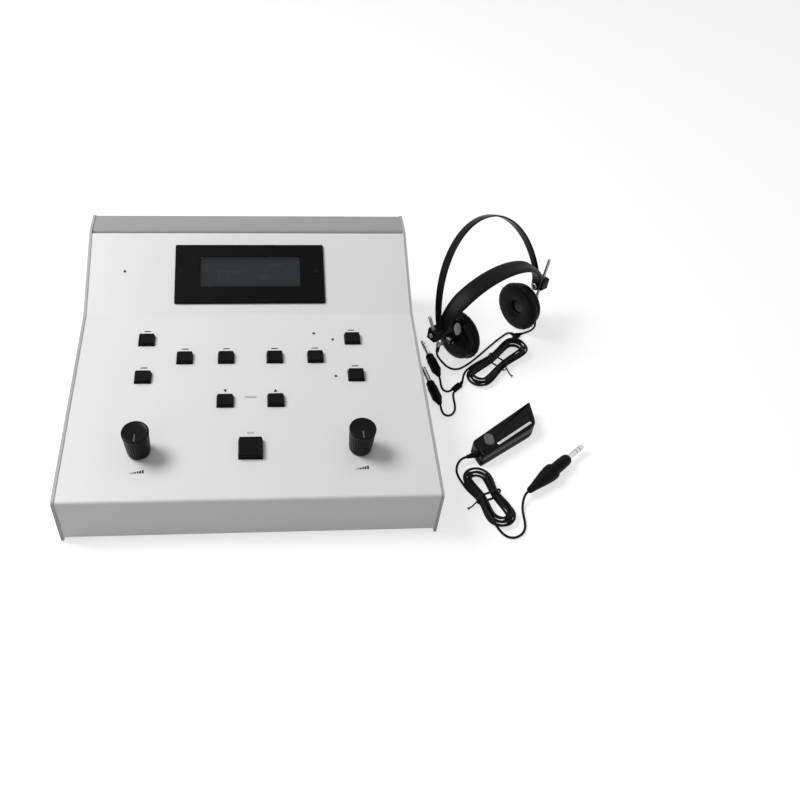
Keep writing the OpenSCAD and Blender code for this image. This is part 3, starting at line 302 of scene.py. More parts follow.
# Sprayed enamel: fine orange peel, a few faint specks and a slow drift of tone
def sprayedEnamel(name, tone):
    f = Finish(name, tone, 0.42, Coat_Weight=0.12, Coat_Roughness=0.25)
    f.tint(f.noise(0.09, 3) * 0.5, tuple(c * 0.95 for c in tone))
    f.tint(((0.05 - f.cells(0.007)) * 40).clamped() * 0.3, tuple(c * 0.55 for c in tone))
    f.rough(f.noise(0.02, 3), 0.12)
    return f.relief(f.noise(0.0011, 2), 0.00005).relief(f.noise(0.004, 1), 0.00004).done()


# Moulded black plastic: fine spark texture, small differences of gloss
def mouldedPlastic(name, tone, roughness, grain=0.00022, depth=0.00001, coat=0.0):
    f = Finish(name, tone, roughness, Coat_Weight=coat, Coat_Roughness=0.12, Specular_IOR_Level=0.06)
    f.tint(f.noise(0.012, 4) * 0.6, tuple(c * 1.4 + 0.001 for c in tone))
    f.rough(f.noise(0.006, 4), 0.14)
    return f.relief(f.noise(grain, 2), depth).done()


# Vinyl over padding: pebbled grain with fine pores, and a faint shine
def paddedVinyl(name, tone):
    f = Finish(name, tone, 0.46, Specular_IOR_Level=0.1)
    pebble = f.cells(0.0016, "SMOOTH_F1")
    f.tint(f.noise(0.01, 3) * 0.5, tuple(c * 1.5 + 0.001 for c in tone))
    f.rough(pebble, 0.18)
    return f.relief(pebble, -0.00016).relief(f.noise(0.0005, 3), 0.00005).done()


# Drawn or brushed metal: fine lines along one way and a little colour drift
def brushedMetal(name, tone, roughness, stretch=(1, 1, 14)):
    f = Finish(name, tone, roughness, Metallic=1.0)
    lines = f.noise(0.0012, 3, stretch)
    f.tint(f.noise(0.01, 3) * 0.4, tuple(c * 0.75 for c in tone))
    f.rough(lines, 0.2)
    return f.relief(lines, 0.000012).done()


# Cord jacket: soft black rubber with dusty patches
def cordJacket(name, tone):
    f = Finish(name, tone, 0.5, Specular_IOR_Level=0.12)
    f.tint(f.noise(0.006, 4) * 0.6, tuple(c * 1.5 + 0.0015 for c in tone))
    f.rough(f.noise(0.003, 3), 0.2)
    return f.relief(f.noise(0.0006, 2), 0.00003).done()


# Clear tinted plastic: light passes through its face
def tintedClear(name, tone, alpha):
    f = Finish(name, tone, 0.08, Alpha=alpha, Specular_IOR_Level=0.15)
    f.rough(f.noise(0.02, 3), 0.06)
    return f.done()


def grey(level):
    return (level, level, level)


coverPaint = sprayedEnamel("coverPaint", grey(0.80))
sidePaint = sprayedEnamel("sidePaint", grey(0.42))
rearPaint = sprayedEnamel("rearPaint", grey(0.33))
blackKey = mouldedPlastic("blackKey", grey(0.0035), 0.42)
knobBlack = mouldedPlastic("knobBlack", grey(0.0035), 0.3, coat=0.06)
bezelBlack = mouldedPlastic("bezelBlack", grey(0.0015), 0.42)
shellBlack = mouldedPlastic("shellBlack", grey(0.003), 0.3, coat=0.06)
fittingBlack = mouldedPlastic("fittingBlack", grey(0.012), 0.5)
plugBlack = mouldedPlastic("plugBlack", grey(0.004), 0.38)
bandVinyl = paddedVinyl("bandVinyl", grey(0.003))
cushionVinyl = paddedVinyl("cushionVinyl", grey(0.003))
bandEnamel = mouldedPlastic("bandEnamel", grey(0.0035), 0.3, 0.0008, 0.00002, 0.06)
cordRubber = cordJacket("cordRubber", grey(0.004))
plugNickel = brushedMetal("plugNickel", (0.72, 0.71, 0.69), 0.22)
rodSteel = brushedMetal("rodSteel", (0.36, 0.36, 0.37), 0.3)
screwSteel = brushedMetal("screwSteel", grey(0.5), 0.32)
plateAluminium = brushedMetal("plateAluminium", grey(0.62), 0.34, (1, 10, 1))
boardGreen = mouldedPlastic("boardGreen", (0.01, 0.09, 0.03), 0.4, 0.002, 0.00002)
footRubber = cordJacket("footRubber", grey(0.012))
brassTurned = brushedMetal("brassTurned", (0.6, 0.45, 0.2), 0.3)
ironCore = mouldedPlastic("ironCore", (0.12, 0.11, 0.1), 0.55, 0.0006, 0.00006)
markInk = mouldedPlastic("markInk", grey(0.03), 0.5)
# Pale ink of the rocker's printed marks, also used for a painted highlight on the left earphone's shell
paleInkAndGlint = mouldedPlastic("paleInkAndGlint", grey(0.55), 0.5)
lensGrey = mouldedPlastic("lensGrey", grey(0.05), 0.15, coat=0.5)
caseBlack = mouldedPlastic("caseBlack", grey(0.003), 0.3, 0.0005, 0.000008, 0.06)
# Silver of the strip on the response case: a painted highlight of the front edge of its top
edgeHighlightSilver = brushedMetal("edgeHighlightSilver", grey(0.6), 0.3, (1, 1, 8))
glassDark = mouldedPlastic("glassDark", (0.02, 0.021, 0.022), 0.1, coat=0.3)
cellDim = mouldedPlastic("cellDim", (0.024, 0.026, 0.027), 0.2)
cellShown = mouldedPlastic("cellShown", (0.05, 0.053, 0.055), 0.25)
markPale = mouldedPlastic("markPale", grey(0.45), 0.5)
grilleGrey = mouldedPlastic("grilleGrey", grey(0.1), 0.4, 0.0006, 0.00001)
buttonGrey = mouldedPlastic("buttonGrey", grey(0.13), 0.4)
windowTint = tintedClear("windowTint", (0.05, 0.055, 0.06), 0.35)
print("stage: finishes made")

# Cords. The points are the model's own routes
cord = {"diameter": 2.8 * mm, "sides": 12, "step": 1.3 * mm}
headsetHank = {"middle": (316 * mm, 58.3 * mm), "turn": 42, "halfRun": 38 * mm}
responseHank = {"middle": (259.2 * mm, -159 * mm), "turn": 109.5, "halfRun": 24 * mm}
hank = {"innerRadius": 8.4 * mm, "waistKeep": 0.75, "tieThickness": 0.8 * mm, "first": 4, "last": 176}
hank["pitch"] = (cord["diameter"] + 0.95 * mm) / hank["waistKeep"]
hank["layer"] = cord["diameter"] + 0.5 * mm


def inMetres(points):
    return np.array(points, float) * mm


# Hank: ring number i says how far round the loops the cord is, 24 to a loop. The end bends are half
# circles about x = -c and x = c, whose radius falls, rises, falls and rises again; the runs between
# them are drawn in by cos squared, and each layer climbs along a run
def hankPath(place, steps=5):
    c = place["halfRun"]
    i = np.arange(hank["first"] * steps, hank["last"] * steps + 1) / steps
    j = i % 24
    radius = hank["innerRadius"] + hank["pitch"] / 24 * (
        np.maximum(0, 36 - i) + np.clip(i - 48, 0, 36) - np.clip(i - 96, 0, 36) + np.maximum(0, i - 144))
    climb = sum(np.clip((i - start) / 4, 0, 1) for start in (40, 88, 136))
    angle = np.radians(np.select([j < 4, j < 8, j < 16, j < 20], [22.5 * j, 90, 90 + 22.5 * (j - 8), 270],
                                 22.5 * j - 180))
    run = np.select([j < 4, j < 8, j < 16, j < 20], [1, 1 - (j - 4) / 2, -1, (j - 16) / 2 - 1], 1)
    keep = 1 - (1 - hank["waistKeep"]) * np.cos(np.pi / 2 * run) ** 2
    x, y = c * run + radius * np.cos(angle), radius * np.sin(angle) * keep
    z = hank["tieThickness"] + cord["diameter"] / 2 + hank["layer"] * climb
    tail = cord["diameter"]
    x = np.concatenate([[x[0] + tail], x, [x[-1] - tail]])
    y, z = np.concatenate([y[:1], y, y[-1:]]), np.concatenate([z[:1], z, z[-1:]])
    t = math.radians(place["turn"])
    return np.stack([place["middle"][0] + x * math.cos(t) - y * math.sin(t),
                     place["middle"][1] + x * math.sin(t) + y * math.cos(t), z], 1)


def cordPiece(name, path):
    points, faces = closedSkin(tubeRings(path, cord["diameter"] / 2, cord["sides"]))
    return addPiece(name, points, faces, cordRubber, None, "cord_rubber")


# Given stretch, hank and given stretch as one even path
def cordWithHank(before, place, after):
    coil = hankPath(place)
    ahead = smoothPath(np.vstack([inMetres(before), coil[:1]]), cord["step"])
    behind = smoothPath(np.vstack([coil[-1:], inMetres(after)]), cord["step"])
    whole = evenSteps(np.vstack([ahead[:-1], coil, behind[1:]]), cord["step"])
    whole = softened(whole, 3)
    whole[:, 2] = np.maximum(whole[:, 2], cord["diameter"] / 2)
    return whole


leftLeadPath = smoothPath(inMetres([[235.8, 62.1, 22.5], [235.9, 62.1, 19], [237.6, 61.7, 14.5],
    [240.8, 60.7, 10], [244.8, 58.7, 6], [249.5, 55.5, 3], [255, 52.2, 1.6], [262, 51, 1.4],
    [270, 54, 1.4], [282, 63, 1.4], [298, 78, 1.4], [314, 94, 1.4], [328, 107.5, 1.4],
    [336, 114.5, 1.4], [341, 118.6, 1.5], [346, 120.9, 1.8], [350, 119.2, 2.2], [352.3, 116.4, 2.5]]),
    cord["step"])
rightLeadPath = smoothPath(inMetres([[386.4, 158.5, 22.5], [386.4, 158.3, 18.5], [387, 156.5, 14],
    [388, 153, 9.5], [388.6, 148, 5.5], [388, 142, 2.6], [385.6, 135, 1.5], [381, 129, 1.4],
    [375, 124.5, 1.5], [367, 120.5, 1.9], [358.7, 116.8, 2.5]]), cord["step"])
headsetPath = cordWithHank([[351.3, 110.2, 2.5]], headsetHank, [[270.3, 37.4, 11.3], [267, 33, 8.6],
    [265.6, 29, 5.4], [264.6, 25.6, 3.2], [261.7, 21.8, 2.5]])
leftPlugPath = smoothPath(inMetres([[253, 16.4, 2.5], [248.5, 12.6, 1.8], [243.8, 10.6, 1.4],
    [239.8, 12.2, 1.4], [237.4, 16.2, 1.8], [236.6, 22, 3.2], [236.4, 28, 5], [236, 34, 6.2]]),
    cord["step"])
rightPlugPath = smoothPath(inMetres([[255.5, 13.5, 2.5], [251.8, 9.8, 1.8], [249.4, 4, 1.4],
    [248.8, -4, 1.4], [248.4, -14, 1.4], [246.6, -22, 1.4], [242.6, -28.4, 1.4], [236.8, -31.2, 1.6],
    [231.6, -29, 2.8], [229.4, -23, 4.8], [229, -16, 6.2]]), cord["step"])
responsePath = cordWithHank([[245, -103.5, 9], [242.3, -104.3, 9], [238, -106.2, 8], [234.4, -109.6, 6],
    [232.2, -114, 4], [231.3, -119, 2.8], [231.6, -124, 2.2], [233.2, -130.8, 2.2]], responseHank,
    [[256.2, -195.6, 11.4], [259.4, -201.4, 8.6], [263.8, -206.2, 5.2], [269.4, -209.6, 2.6],
     [275.8, -210.6, 1.5], [282.4, -208.8, 1.4], [288, -204.6, 1.4], [291.8, -198, 1.4],
     [293.4, -190, 1.4], [294, -181, 1.4], [294.8, -172.5, 2.6], [297.2, -164, 6.2],
     [300.8, -158, 8.8], [304.5, -155, 9.5]])


# Cord carried on straight into its plug's handle
def intoHandle(path, turn, reach):
    axis = np.array((math.cos(math.radians(turn)), math.sin(math.radians(turn)), 0))
    steps = np.arange(1, int(reach / cord["step"]) + 1)[:, None]
    return np.vstack([path, path[-1] + steps * cord["step"] * axis])


leftPlugPath = intoHandle(leftPlugPath, 100, 24 * mm)
rightPlugPath = intoHandle(rightPlugPath, 100, 24 * mm)
responsePath = intoHandle(responsePath, 39, 60 * mm)
cordPaths = {"leftLead": leftLeadPath, "rightLead": rightLeadPath, "headsetMainCord": headsetPath,
             "leftPlugLead": leftPlugPath, "rightPlugLead": rightPlugPath, "responseCord": responsePath}
cords = {name: cordPiece(name, path) for name, path in cordPaths.items()}
for name, path in cordPaths.items():
    print("stage: cord", name, round(pathLength(path), 3), "m")

# Each lead's placement is baked into its points
for name, path, last in (("left", leftLeadPath, 30), ("right", rightLeadPath, 24)):
    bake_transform(cords[name + "Lead"], name + "_slider_rod", "console", start=tuple(path[0]), end=tuple(path[last]))


def smoothBlend(a, b, t):
    t = np.clip(t, 0, 1)
    return a + (b - a) * t * t * (3 - 2 * t)


# Splitters: rounded blocks with a short nozzle round each cord that enters
splitter = {"size": np.array((10, 8, 5)) * mm, "corner": 1.7 * mm, "nozzleLength": 5 * mm,
            "ear": (355 * mm, 113.5 * mm), "plug": (258 * mm, 18.5 * mm)}


def nozzle(path, reverse, start, radius=(2.3, 1.75)):
    line = path[::-1] if reverse else path
    inside = line[start]
    axis = unit(line[start + 4] - inside)
    length = splitter["nozzleLength"]
    profile = [(-1.5 * mm, radius[0] * mm), (0, radius[0] * mm), (length * 0.3, radius[0] * 0.96 * mm),
               (length * 0.5, radius[0] * 0.9 * mm), (length * 0.55, radius[0] * 0.96 * mm),
               (length, radius[1] * mm), (length, 1.42 * mm)]
    return turned(profile, inside, axis, 20)


def splitterPiece(name, at, nozzles):
    body = roundedBox(splitter["size"], splitter["corner"])
    points = turnedTo(body[0], (*at, splitter["size"][2] / 2), math.radians(headsetHank["turn"]))
    whole = joined([(points, body[1])] + nozzles)
    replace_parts(addPiece(name, *whole, plugBlack, "console", "cord_rubber", 50), "headset_cord")


splitterPiece("earSplitter", splitter["ear"], [nozzle(leftLeadPath, True, 0), nozzle(rightLeadPath, True, 0),
                                               nozzle(headsetPath, False, 0)])
splitterPiece("plugSplitter", splitter["plug"], [nozzle(headsetPath, True, 0), nozzle(leftPlugPath, False, 0),
                                                 nozzle(rightPlugPath, False, 0)])
print("stage: splitters")

# Quarter inch plugs. Handle: turned about its axis; grip ribs are a cosine of the angle or of the
# length, faded out at the ends of the grip. Pin: turned, with two insulating rings and a waisted tip
plug = {"pinRadius": 3.175 * mm, "pinLength": 31 * mm, "phoneTurn": 100, "responseTurn": 39,
        "phoneHeight": 6.2 * mm, "responseHeight": 9.5 * mm}


def phoneHandle():
    d = np.array([0, 0.6, 2, 4, 6, 8, 10, 10.6, 12, 14, 18, 22, 26, 28.4, 29.4, 30, 30.5, 31.2, 36.6, 37.6, 38, 38])
    r = np.array([1.45, 2.6, 3.2, 3.7, 4.3, 5.1, 5.9, 6.15, 6.2, 6.15, 6.05, 6.05, 6.1, 6.2, 6.1, 5.5, 5.3, 5.4,
                  5.4, 5.2, 4.6, 3.2])
    return np.stack([d, r], 1) * mm


def responseHandle():
    d = np.array([0, 0.6, 3, 8, 14, 20, 26, 32, 36, 38, 39, 43, 44.4, 45, 45.4, 47, 52, 58, 64, 69, 71.5, 72.7, 73, 73])
    r = np.array([1.45, 3.2, 3.9, 4.6, 5.6, 6.7, 7.8, 8.8, 9.2, 9.4, 9.5, 9.5, 9.3, 8.6, 7.2, 7, 7, 7, 6.9, 6.6,
                  6.1, 5.4, 4.7, 3.2])
    return np.stack([d, r], 1) * mm


def phoneGrip(d, a):
    return -0.3 * mm * smoothBlend(0, 1, (d / mm - 12) / 2) * smoothBlend(1, 0, (d / mm - 26) / 2) * (
        0.5 + 0.5 * np.cos(18 * a))


def responseGrip(d, a):
    boot = -0.45 * mm * smoothBlend(0, 1, (d / mm - 5) / 3) * smoothBlend(1, 0, (d / mm - 33) / 3)
    return boot * (0.5 + 0.5 * np.cos(2 * np.pi * d / (3.1 * mm))) * np.ones_like(a)


def fineProfile(profile, step=0.45 * mm):
    return evenSteps(np.concatenate([profile, np.zeros((len(profile), 1))], 1), step)[:, :2]


def pinParts():
    l, r = plug["pinLength"] / mm, plug["pinRadius"] / mm
    metal = np.array([(-7, r), (0.4, r), (0.5, r + 1.2), (1.4, r + 1.2), (1.5, r), (l - 16.4, r), (l - 16.4, r - 0.35),
        (l - 15.6, r - 0.35), (l - 15.6, r), (l - 10.4, r), (l - 10.4, r - 0.35), (l - 9.6, r - 0.35),
        (l - 9.6, r), (l - 8.4, r - 0.15), (l - 7.6, r - 0.65), (l - 6.9, r - 0.62), (l - 6, r - 0.1), (l - 5.4, r),
        (l - 3.6, r - 0.25), (l - 1.8, r - 0.9), (l - 0.7, r - 1.6), (l - 0.15, r - 2.4), (l, 0.05)]) * mm
    rings = [np.array([(c - 0.38, r - 0.3), (c - 0.38, r - 0.01), (c + 0.38, r - 0.01), (c + 0.38, r - 0.3)]) * mm
             for c in (l - 16, l - 10)]
    return metal, rings


def plugPieces(name, at, turn, handle, height, grip, replaced, sides):
    base = np.array((at[0] * mm, at[1] * mm, height))
    axis = np.array((math.cos(math.radians(turn)), math.sin(math.radians(turn)), 0))
    fine = fineProfile(handle)
    body = addPiece(name + "Handle", *turned(fine, base, axis, sides, grip), plugBlack, "console", "plug_plastic", 40)
    metal, rings = pinParts()
    front = base + axis * handle[-1, 0]
    pin = addPiece(name + "Pin", *turned(metal, front, axis, 40), plugNickel, "console", "plug_plastic", 30)
    bands = addPiece(name + "PinRings", *joined([turned(r, front, axis, 40) for r in rings]), fittingBlack,
                     "console", "plug_plastic", 30)
    for piece in (body, pin, bands):
        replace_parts(piece, replaced)


for name, at in (("leftPlug", (236, 34)), ("rightPlug", (229, -16))):
    plugPieces(name, at, plug["phoneTurn"], phoneHandle(), plug["phoneHeight"], phoneGrip, "headset_plugs", 72)
plugPieces("responsePlug", (304.5, -155), plug["responseTurn"], responseHandle(), plug["responseHeight"],
           responseGrip, "response_plug", 56)
print("stage: plugs")

# Wire ties: a flat strip with a wire along its middle, bent round the waist of the hank, and its
# two ends twisted together; strip section is x = 1.5 cos a, n = (0.18 + 0.2 exp(-(x / 0.5)^2)) sin a
tie = {"width": 27.05 * mm, "height": 12.7 * mm, "corner": 2.2 * mm, "strip": 0.8 * mm, "halfStrip": 1.5 * mm,
       "twistRadius": 0.48 * mm, "strandRadius": 0.5 * mm, "turns": 3.5,
       "tail": np.array([[0, 0, 6], [-1, 2, 5.6], [-2, 4, 5], [-2.6, 6, 4], [-3, 8, 3], [-3, 10.5, 1.9],
                         [-3, 13, 1.3]])}


def tieParts(place, side):
    half = np.array([tie["width"] + tie["strip"], tie["height"] + tie["strip"]]) / 2 - tie["corner"]
    a = np.linspace(0, 2 * np.pi, 96, endpoint=False)
    normal = np.stack([np.cos(a), np.sin(a)], 1)
    line = np.sign(np.round(normal, 6)) * half + tie["corner"] * normal
    section = np.linspace(0, 2 * np.pi, 16, endpoint=False)
    x = tie["halfStrip"] * np.cos(section)
    n = (0.18 * mm + 0.2 * mm * np.exp(-(x / (0.5 * mm)) ** 2)) * np.sin(section)
    across = line[:, None] + n[None, :, None] * normal[:, None]
    rings = np.stack([np.broadcast_to(x, across.shape[:2]), across[..., 0], across[..., 1]], -1)
    rings[..., 2] += tie["height"] / 2 + tie["strip"]
    strip = closedSkin(rings, True)
    tail = tie["tail"] * mm
    tail[:, 1] = side * (tie["width"] / 2 + tie["strip"] + tail[:, 1] - 0.2 * mm)
    core = smoothPath(tail, 0.35 * mm)
    along = unit(np.gradient(core, axis=0))
    out = unit(np.cross(along, [0, 0, 1.0]))
    up = np.cross(out, along)
    turn = np.linspace(0, 2 * np.pi * tie["turns"], len(core))[:, None]
    spread = smoothBlend(1, 3.2, (np.linspace(0, 1, len(core)) - 0.8) / 0.2)[:, None]
    strands = [core + s * spread * tie["twistRadius"] * (np.cos(turn) * out + np.sin(turn) * up) for s in (1, -1)]
    for strand in strands:
        strand[:, 2] = np.maximum(strand[:, 2], tie["strandRadius"] + 0.05 * mm)
    tubes = [closedSkin(tubeRings(strand, tie["strandRadius"], 10)) for strand in strands]
    points, faces = joined([strip] + tubes)
    return turnedTo(points, (*place["middle"], 0), math.radians(place["turn"])), faces


for name, place, side in (("headsetTie", headsetHank, -1), ("responseTie", responseHank, 1)):
    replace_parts(addPiece(name, *tieParts(place, side), fittingBlack, "console", "tie_plastic", 50), "cord_ties")

for name in ("headsetMainCord", "responseCord", "leftPlugLead", "rightPlugLead"):
    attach(cords[name], "console")
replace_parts(cords["headsetMainCord"], "headset_cord", "headset_hank")
for name in ("leftLead", "rightLead", "leftPlugLead", "rightPlugLead"):
    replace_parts(cords[name], "headset_cord")
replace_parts(cords["responseCord"], "response_cord", "response_hank")
cordFacts = {"leftLead": ("fitting", "loose", ["earSplitter"]), "rightLead": ("fitting", "loose", ["earSplitter"]),
             "headsetMainCord": ("fitting", "coiled", ["plugSplitter", "headsetTie"]),
             "leftPlugLead": ("plug", "loose", ["leftPlugHandle", "leftPlugPin", "leftPlugPinRings"]),
             "rightPlugLead": ("plug", "loose", ["rightPlugHandle", "rightPlugPin", "rightPlugPinRings"]),
             "responseCord": ("plug", "coiled", ["responsePlugHandle", "responsePlugPin", "responsePlugPinRings",
                                                 "responseTie"])}
for name, (farEnd, lay, pieces) in cordFacts.items():
    path = cordPaths[name]
    round(pathLength(path), 4)

# Headset frame: origin midway between the rivets, x to the right ear, y to the back of the head
headset = {"at": np.array((307.5, 108, 57)) * mm, "turn": math.radians(32.6), "cupZ": -24, "rodX": 95.8,
           "faces": {"left": 61, "right": 72}, "leans": {"left": 24, "right": 5}}
sides = {"left": -1, "right": 1}


def onHead(points, side=1):
    return turnedTo(np.asarray(points, float) * np.array((side, 1, 1)), headset["at"], headset["turn"])


def mirroredFaces(faces, side):
    return faces if side > 0 else [f[::-1] for f in faces]


# A rounded box at a place in the headset's frame, all in millimetres
def headBox(size, radius, steps, at, side):
    points, faces = roundedBox(np.array(size) * mm, radius * mm, steps)
    return onHead(points + np.array(at) * mm, side), mirroredFaces(faces, side)


# Bands: a half ellipse (a cos q, h sin q) whose two ends run on down as round discs of radius w/2.
# Section: across = half width times a rounded square curve of the angle, through = half thickness
# times another, plus a crown on the outer side
wideBand = {"halfSpan": 84, "height": 57, "thickness": 5, "width": 24, "endWidth": 13, "crown": 1, "lean": 4,
            "piping": 0.75, "pipingInset": 0.7, "stitchPitch": 3.4, "stitchLength": 2.3, "stitchInset": 2.6}
thinBand = {"halfSpan": 87.9, "height": 118, "thickness": 2.2, "width": 12, "endWidth": 9.6, "crown": 0.0,
            "lean": -22}


# Stations along a band: place in the band's plane, outward direction and half width, from one
# disc end round to the other
def bandStations(b, spacing=1.6):
    disc = (b["endWidth"] if b is wideBand else b["width"]) / 2
    drop = disc * np.cos(np.linspace(0.02, 1, 9) * np.pi / 2)
    q = np.radians(np.linspace(0, 180, int(np.pi * b["height"] / spacing)))
    half = (b["endWidth"] + (b["width"] - b["endWidth"]) * np.minimum(1, 1.5 * np.sin(q))) / 2
    out = unit(np.stack([np.cos(q) / b["halfSpan"], np.sin(q) / b["height"]], 1))
    arc = np.stack([b["halfSpan"] * np.cos(q), b["height"] * np.sin(q)], 1)
    if b is thinBand:
        half = np.maximum(half, np.sqrt(np.maximum(0, disc ** 2 - arc[:, 1] ** 2)))
    down = np.stack([np.full(9, b["halfSpan"]), -drop], 1)[:-1]
    sideways = np.tile([1.0, 0.0], (8, 1))
    place = np.vstack([down, arc, (down * [-1, 1])[::-1]])
    outward = np.vstack([sideways, out, -sideways])
    halves = np.concatenate([np.sqrt(np.maximum(disc ** 2 - drop[:-1] ** 2, 0)), half,
                             np.sqrt(np.maximum(disc ** 2 - drop[:-1] ** 2, 0))[::-1]])
    return place, outward, np.maximum(halves, 0.4)


def leaned(points, lean):
    c, s = math.cos(math.radians(lean)), math.sin(math.radians(lean))
    return points @ np.array([[1, 0, 0], [0, c, s], [0, -s, c]])


def squareCurve(value, power):
    return np.sign(value) * np.abs(value) ** (2 / power)


def bandSkin(b, around, across, through, swell=None):
    place, out, half = bandStations(b)
    a = np.linspace(0, 2 * np.pi, around, endpoint=False)
    u, v = squareCurve(np.cos(a), across), squareCurve(np.sin(a), through)
    length = np.concatenate([[0], np.cumsum(np.linalg.norm(np.diff(place, axis=0), axis=1))])
    arch = np.clip(place[:, 1] / b["height"], 0, 1)[:, None]
    n = b["thickness"] / 2 * v[None] + (v[None] > 0) * b["crown"] * arch * (1 - u[None] ** 2)
    if swell is not None:
        n = n + swell(length[:, None], u[None], half[:, None]) * v[None]
    rings = np.stack([place[:, None, 0] + n * out[:, None, 0], -u[None] * half[:, None] + 0 * n,
                      place[:, None, 1] + n * out[:, None, 1]], -1)
    points, faces = closedSkin(rings)
    return onHead(leaned(points, b["lean"]) * mm), faces


# Padding drawn in at its edges and puckered a little along them
def wideSwell(length, u, half):
    edge = np.exp(-((1 - np.abs(u)) * half / 1.6) ** 2)
    return -0.5 * edge * (1 + 0.35 * np.sin(2 * np.pi * length / 6.8)) + 0.05 * np.sin(length / 5.1) * (1 - edge)


def bandEdge(b, inset, through):
    place, out, half = bandStations(b)
    near = np.stack([place[:, 0] + through * out[:, 0], -(half - inset).clip(0.05),
                     place[:, 1] + through * out[:, 1]], 1)
    far = near * [1, -1, 1]
    return near, far


def pipingParts(b):
    near, far = bandEdge(b, b["pipingInset"], 0.0)
    loop = evenSteps(np.vstack([near, far[::-1], near[:1]]), 1.5)[:-1]
    ahead = np.vstack([loop[-1:], loop, loop[:1]])
    along = unit(ahead[2:] - ahead[:-2])
    side = unit(np.cross([0.0, 1.0, 0.02], along) + 1e-9)
    up = np.cross(along, side)
    a = np.linspace(0, 2 * np.pi, 10, endpoint=False)
    around = np.cos(a)[None, :, None] * side[:, None] + np.sin(a)[None, :, None] * up[:, None]
    rings = loop[:, None] + b["piping"] * around
    points, faces = closedSkin(rings, True)
    return onHead(leaned(points, b["lean"]) * mm), faces


# Stitches: one small lozenge, long along the seam, copied to every pitch of both edges
def stitchParts(b):
    lozenge = roundedBox((b["stitchLength"], 0.5, 0.36), 0.16, 2)
    place, out, half = bandStations(b)
    points = []
    for s in (-1, 1):
        high = place[:, 1] > 2
        n = b["thickness"] / 2 + b["crown"] * np.clip(place[:, 1] / b["height"], 0, 1) * (
            1 - ((half - b["stitchInset"]) / half) ** 2) - 0.35
        seam = np.stack([place[:, 0] + n * out[:, 0], s * (half - b["stitchInset"]),
                         place[:, 1] + n * out[:, 1]], 1)[high]
        spots = evenSteps(seam, b["stitchPitch"] / 2)
        along = unit(spots[2::2] - spots[:-2:2])
        centre = spots[1:-1:2][:len(along)]
        along = along[:len(centre)]
        normal = unit(np.stack([centre[:, 0] / b["halfSpan"] ** 2, 0 * centre[:, 0],
                                centre[:, 2] / b["height"] ** 2], 1))
        across = np.cross(normal, along)
        points.append((centre[:, None] + lozenge[0][None, :, :1] * along[:, None]
                       + lozenge[0][None, :, 1:2] * across[:, None] + lozenge[0][None, :, 2:] * normal[:, None]))
    stack = np.concatenate(points)
    count, size = stack.shape[:2]
    faces = (np.arange(count)[:, None, None] * size + np.array(lozenge[1])[None]).reshape(-1, 4)
    return onHead(leaned(stack.reshape(-1, 3), b["lean"]) * mm), faces.tolist()


widePad = addPiece("wideBandPad", *bandSkin(wideBand, 40, 5, 2.6, wideSwell), bandVinyl, "console", "band_cover", 60)
piping = addPiece("wideBandPiping", *pipingParts(wideBand), bandVinyl, "console", "band_cover", 60)
stitches = addPiece("wideBandStitches", *stitchParts(wideBand), cordRubber, "console", "band_cover", 60)
for piece in (widePad, piping, stitches):
    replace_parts(piece, "wide_headband")
thinSpring = addPiece("thinBandSpring", *bandSkin(thinBand, 24, 9, 3.0), bandEnamel, "thin_headband",
                      "band_spring", 50)
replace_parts(thinSpring, "thin_headband")
print("stage: bands")

# Pivot blocks: rounded blocks with two lips across them, a screw outside and a rivet inside
pivot = {"block": (13, 14, 16), "round": 1.5, "lip": (10.4, 14.7, 1.1), "rivetHead": 4,
         "rivetShank": 2, "screwHead": 2.9}


# Screw head: domed disc on a polar grid, sunk by 1 where the cross recess is. The cross is where
# the smaller of |x| and |y| is under half a slot and the larger is under the slot's reach
def crossHead(radius, height, at, axis, reach=0.62, slot=0.17, sides=48, rings=12, turn=0.35):
    r = np.concatenate([np.linspace(0.02, 0.9, rings), [0.96, 1.0, 1.0]])[:, None]
    a = np.linspace(0, 2 * np.pi, sides, endpoint=False)[None]
    x, y = r * np.cos(a), r * np.sin(a)
    least, most = np.minimum(np.abs(x), np.abs(y)), np.maximum(np.abs(x), np.abs(y))
    cross = smoothBlend(1, 0, (least - slot * 0.6) / (slot * 0.7)) * smoothBlend(1, 0, (most - reach) / 0.14)
    top = height * (1 - 0.45 * r ** 2.5) - height * 0.75 * cross
    top[-1], top[-2] = -0.1 * height, height * 0.42
    axis = unit(axis)
    side = unit(np.cross(axis, [0.1, 0.3, 1.0] if abs(axis[2]) < 0.9 else [1.0, 0.1, 0.0]))
    up = np.cross(axis, side)
    ca, sa = math.cos(turn), math.sin(turn)
    u, v = (x * ca - y * sa) * radius, (x * sa + y * ca) * radius
    grid = np.asarray(at, float) + u[..., None] * side + v[..., None] * up + top[..., None] * axis
    return closedSkin(grid)


def roundHead(radius, height, at, axis, sides=40):
    t = np.linspace(0, np.pi / 2, 9)
    profile = np.stack([height * np.sin(t), radius * np.maximum(np.cos(t) ** 0.6, 0.02)], 1)
    return turned(np.vstack([[-0.2 * height, radius], profile]), at, axis, sides)


def headDirection(x, y, z, side=1):
    return onHead(np.array([[x, y, z]], float), side)[0] - headset["at"]


def alongHead(x, y, z, side=1):
    return onHead(np.array([[x, y, z]], float) * mm, side)[0]


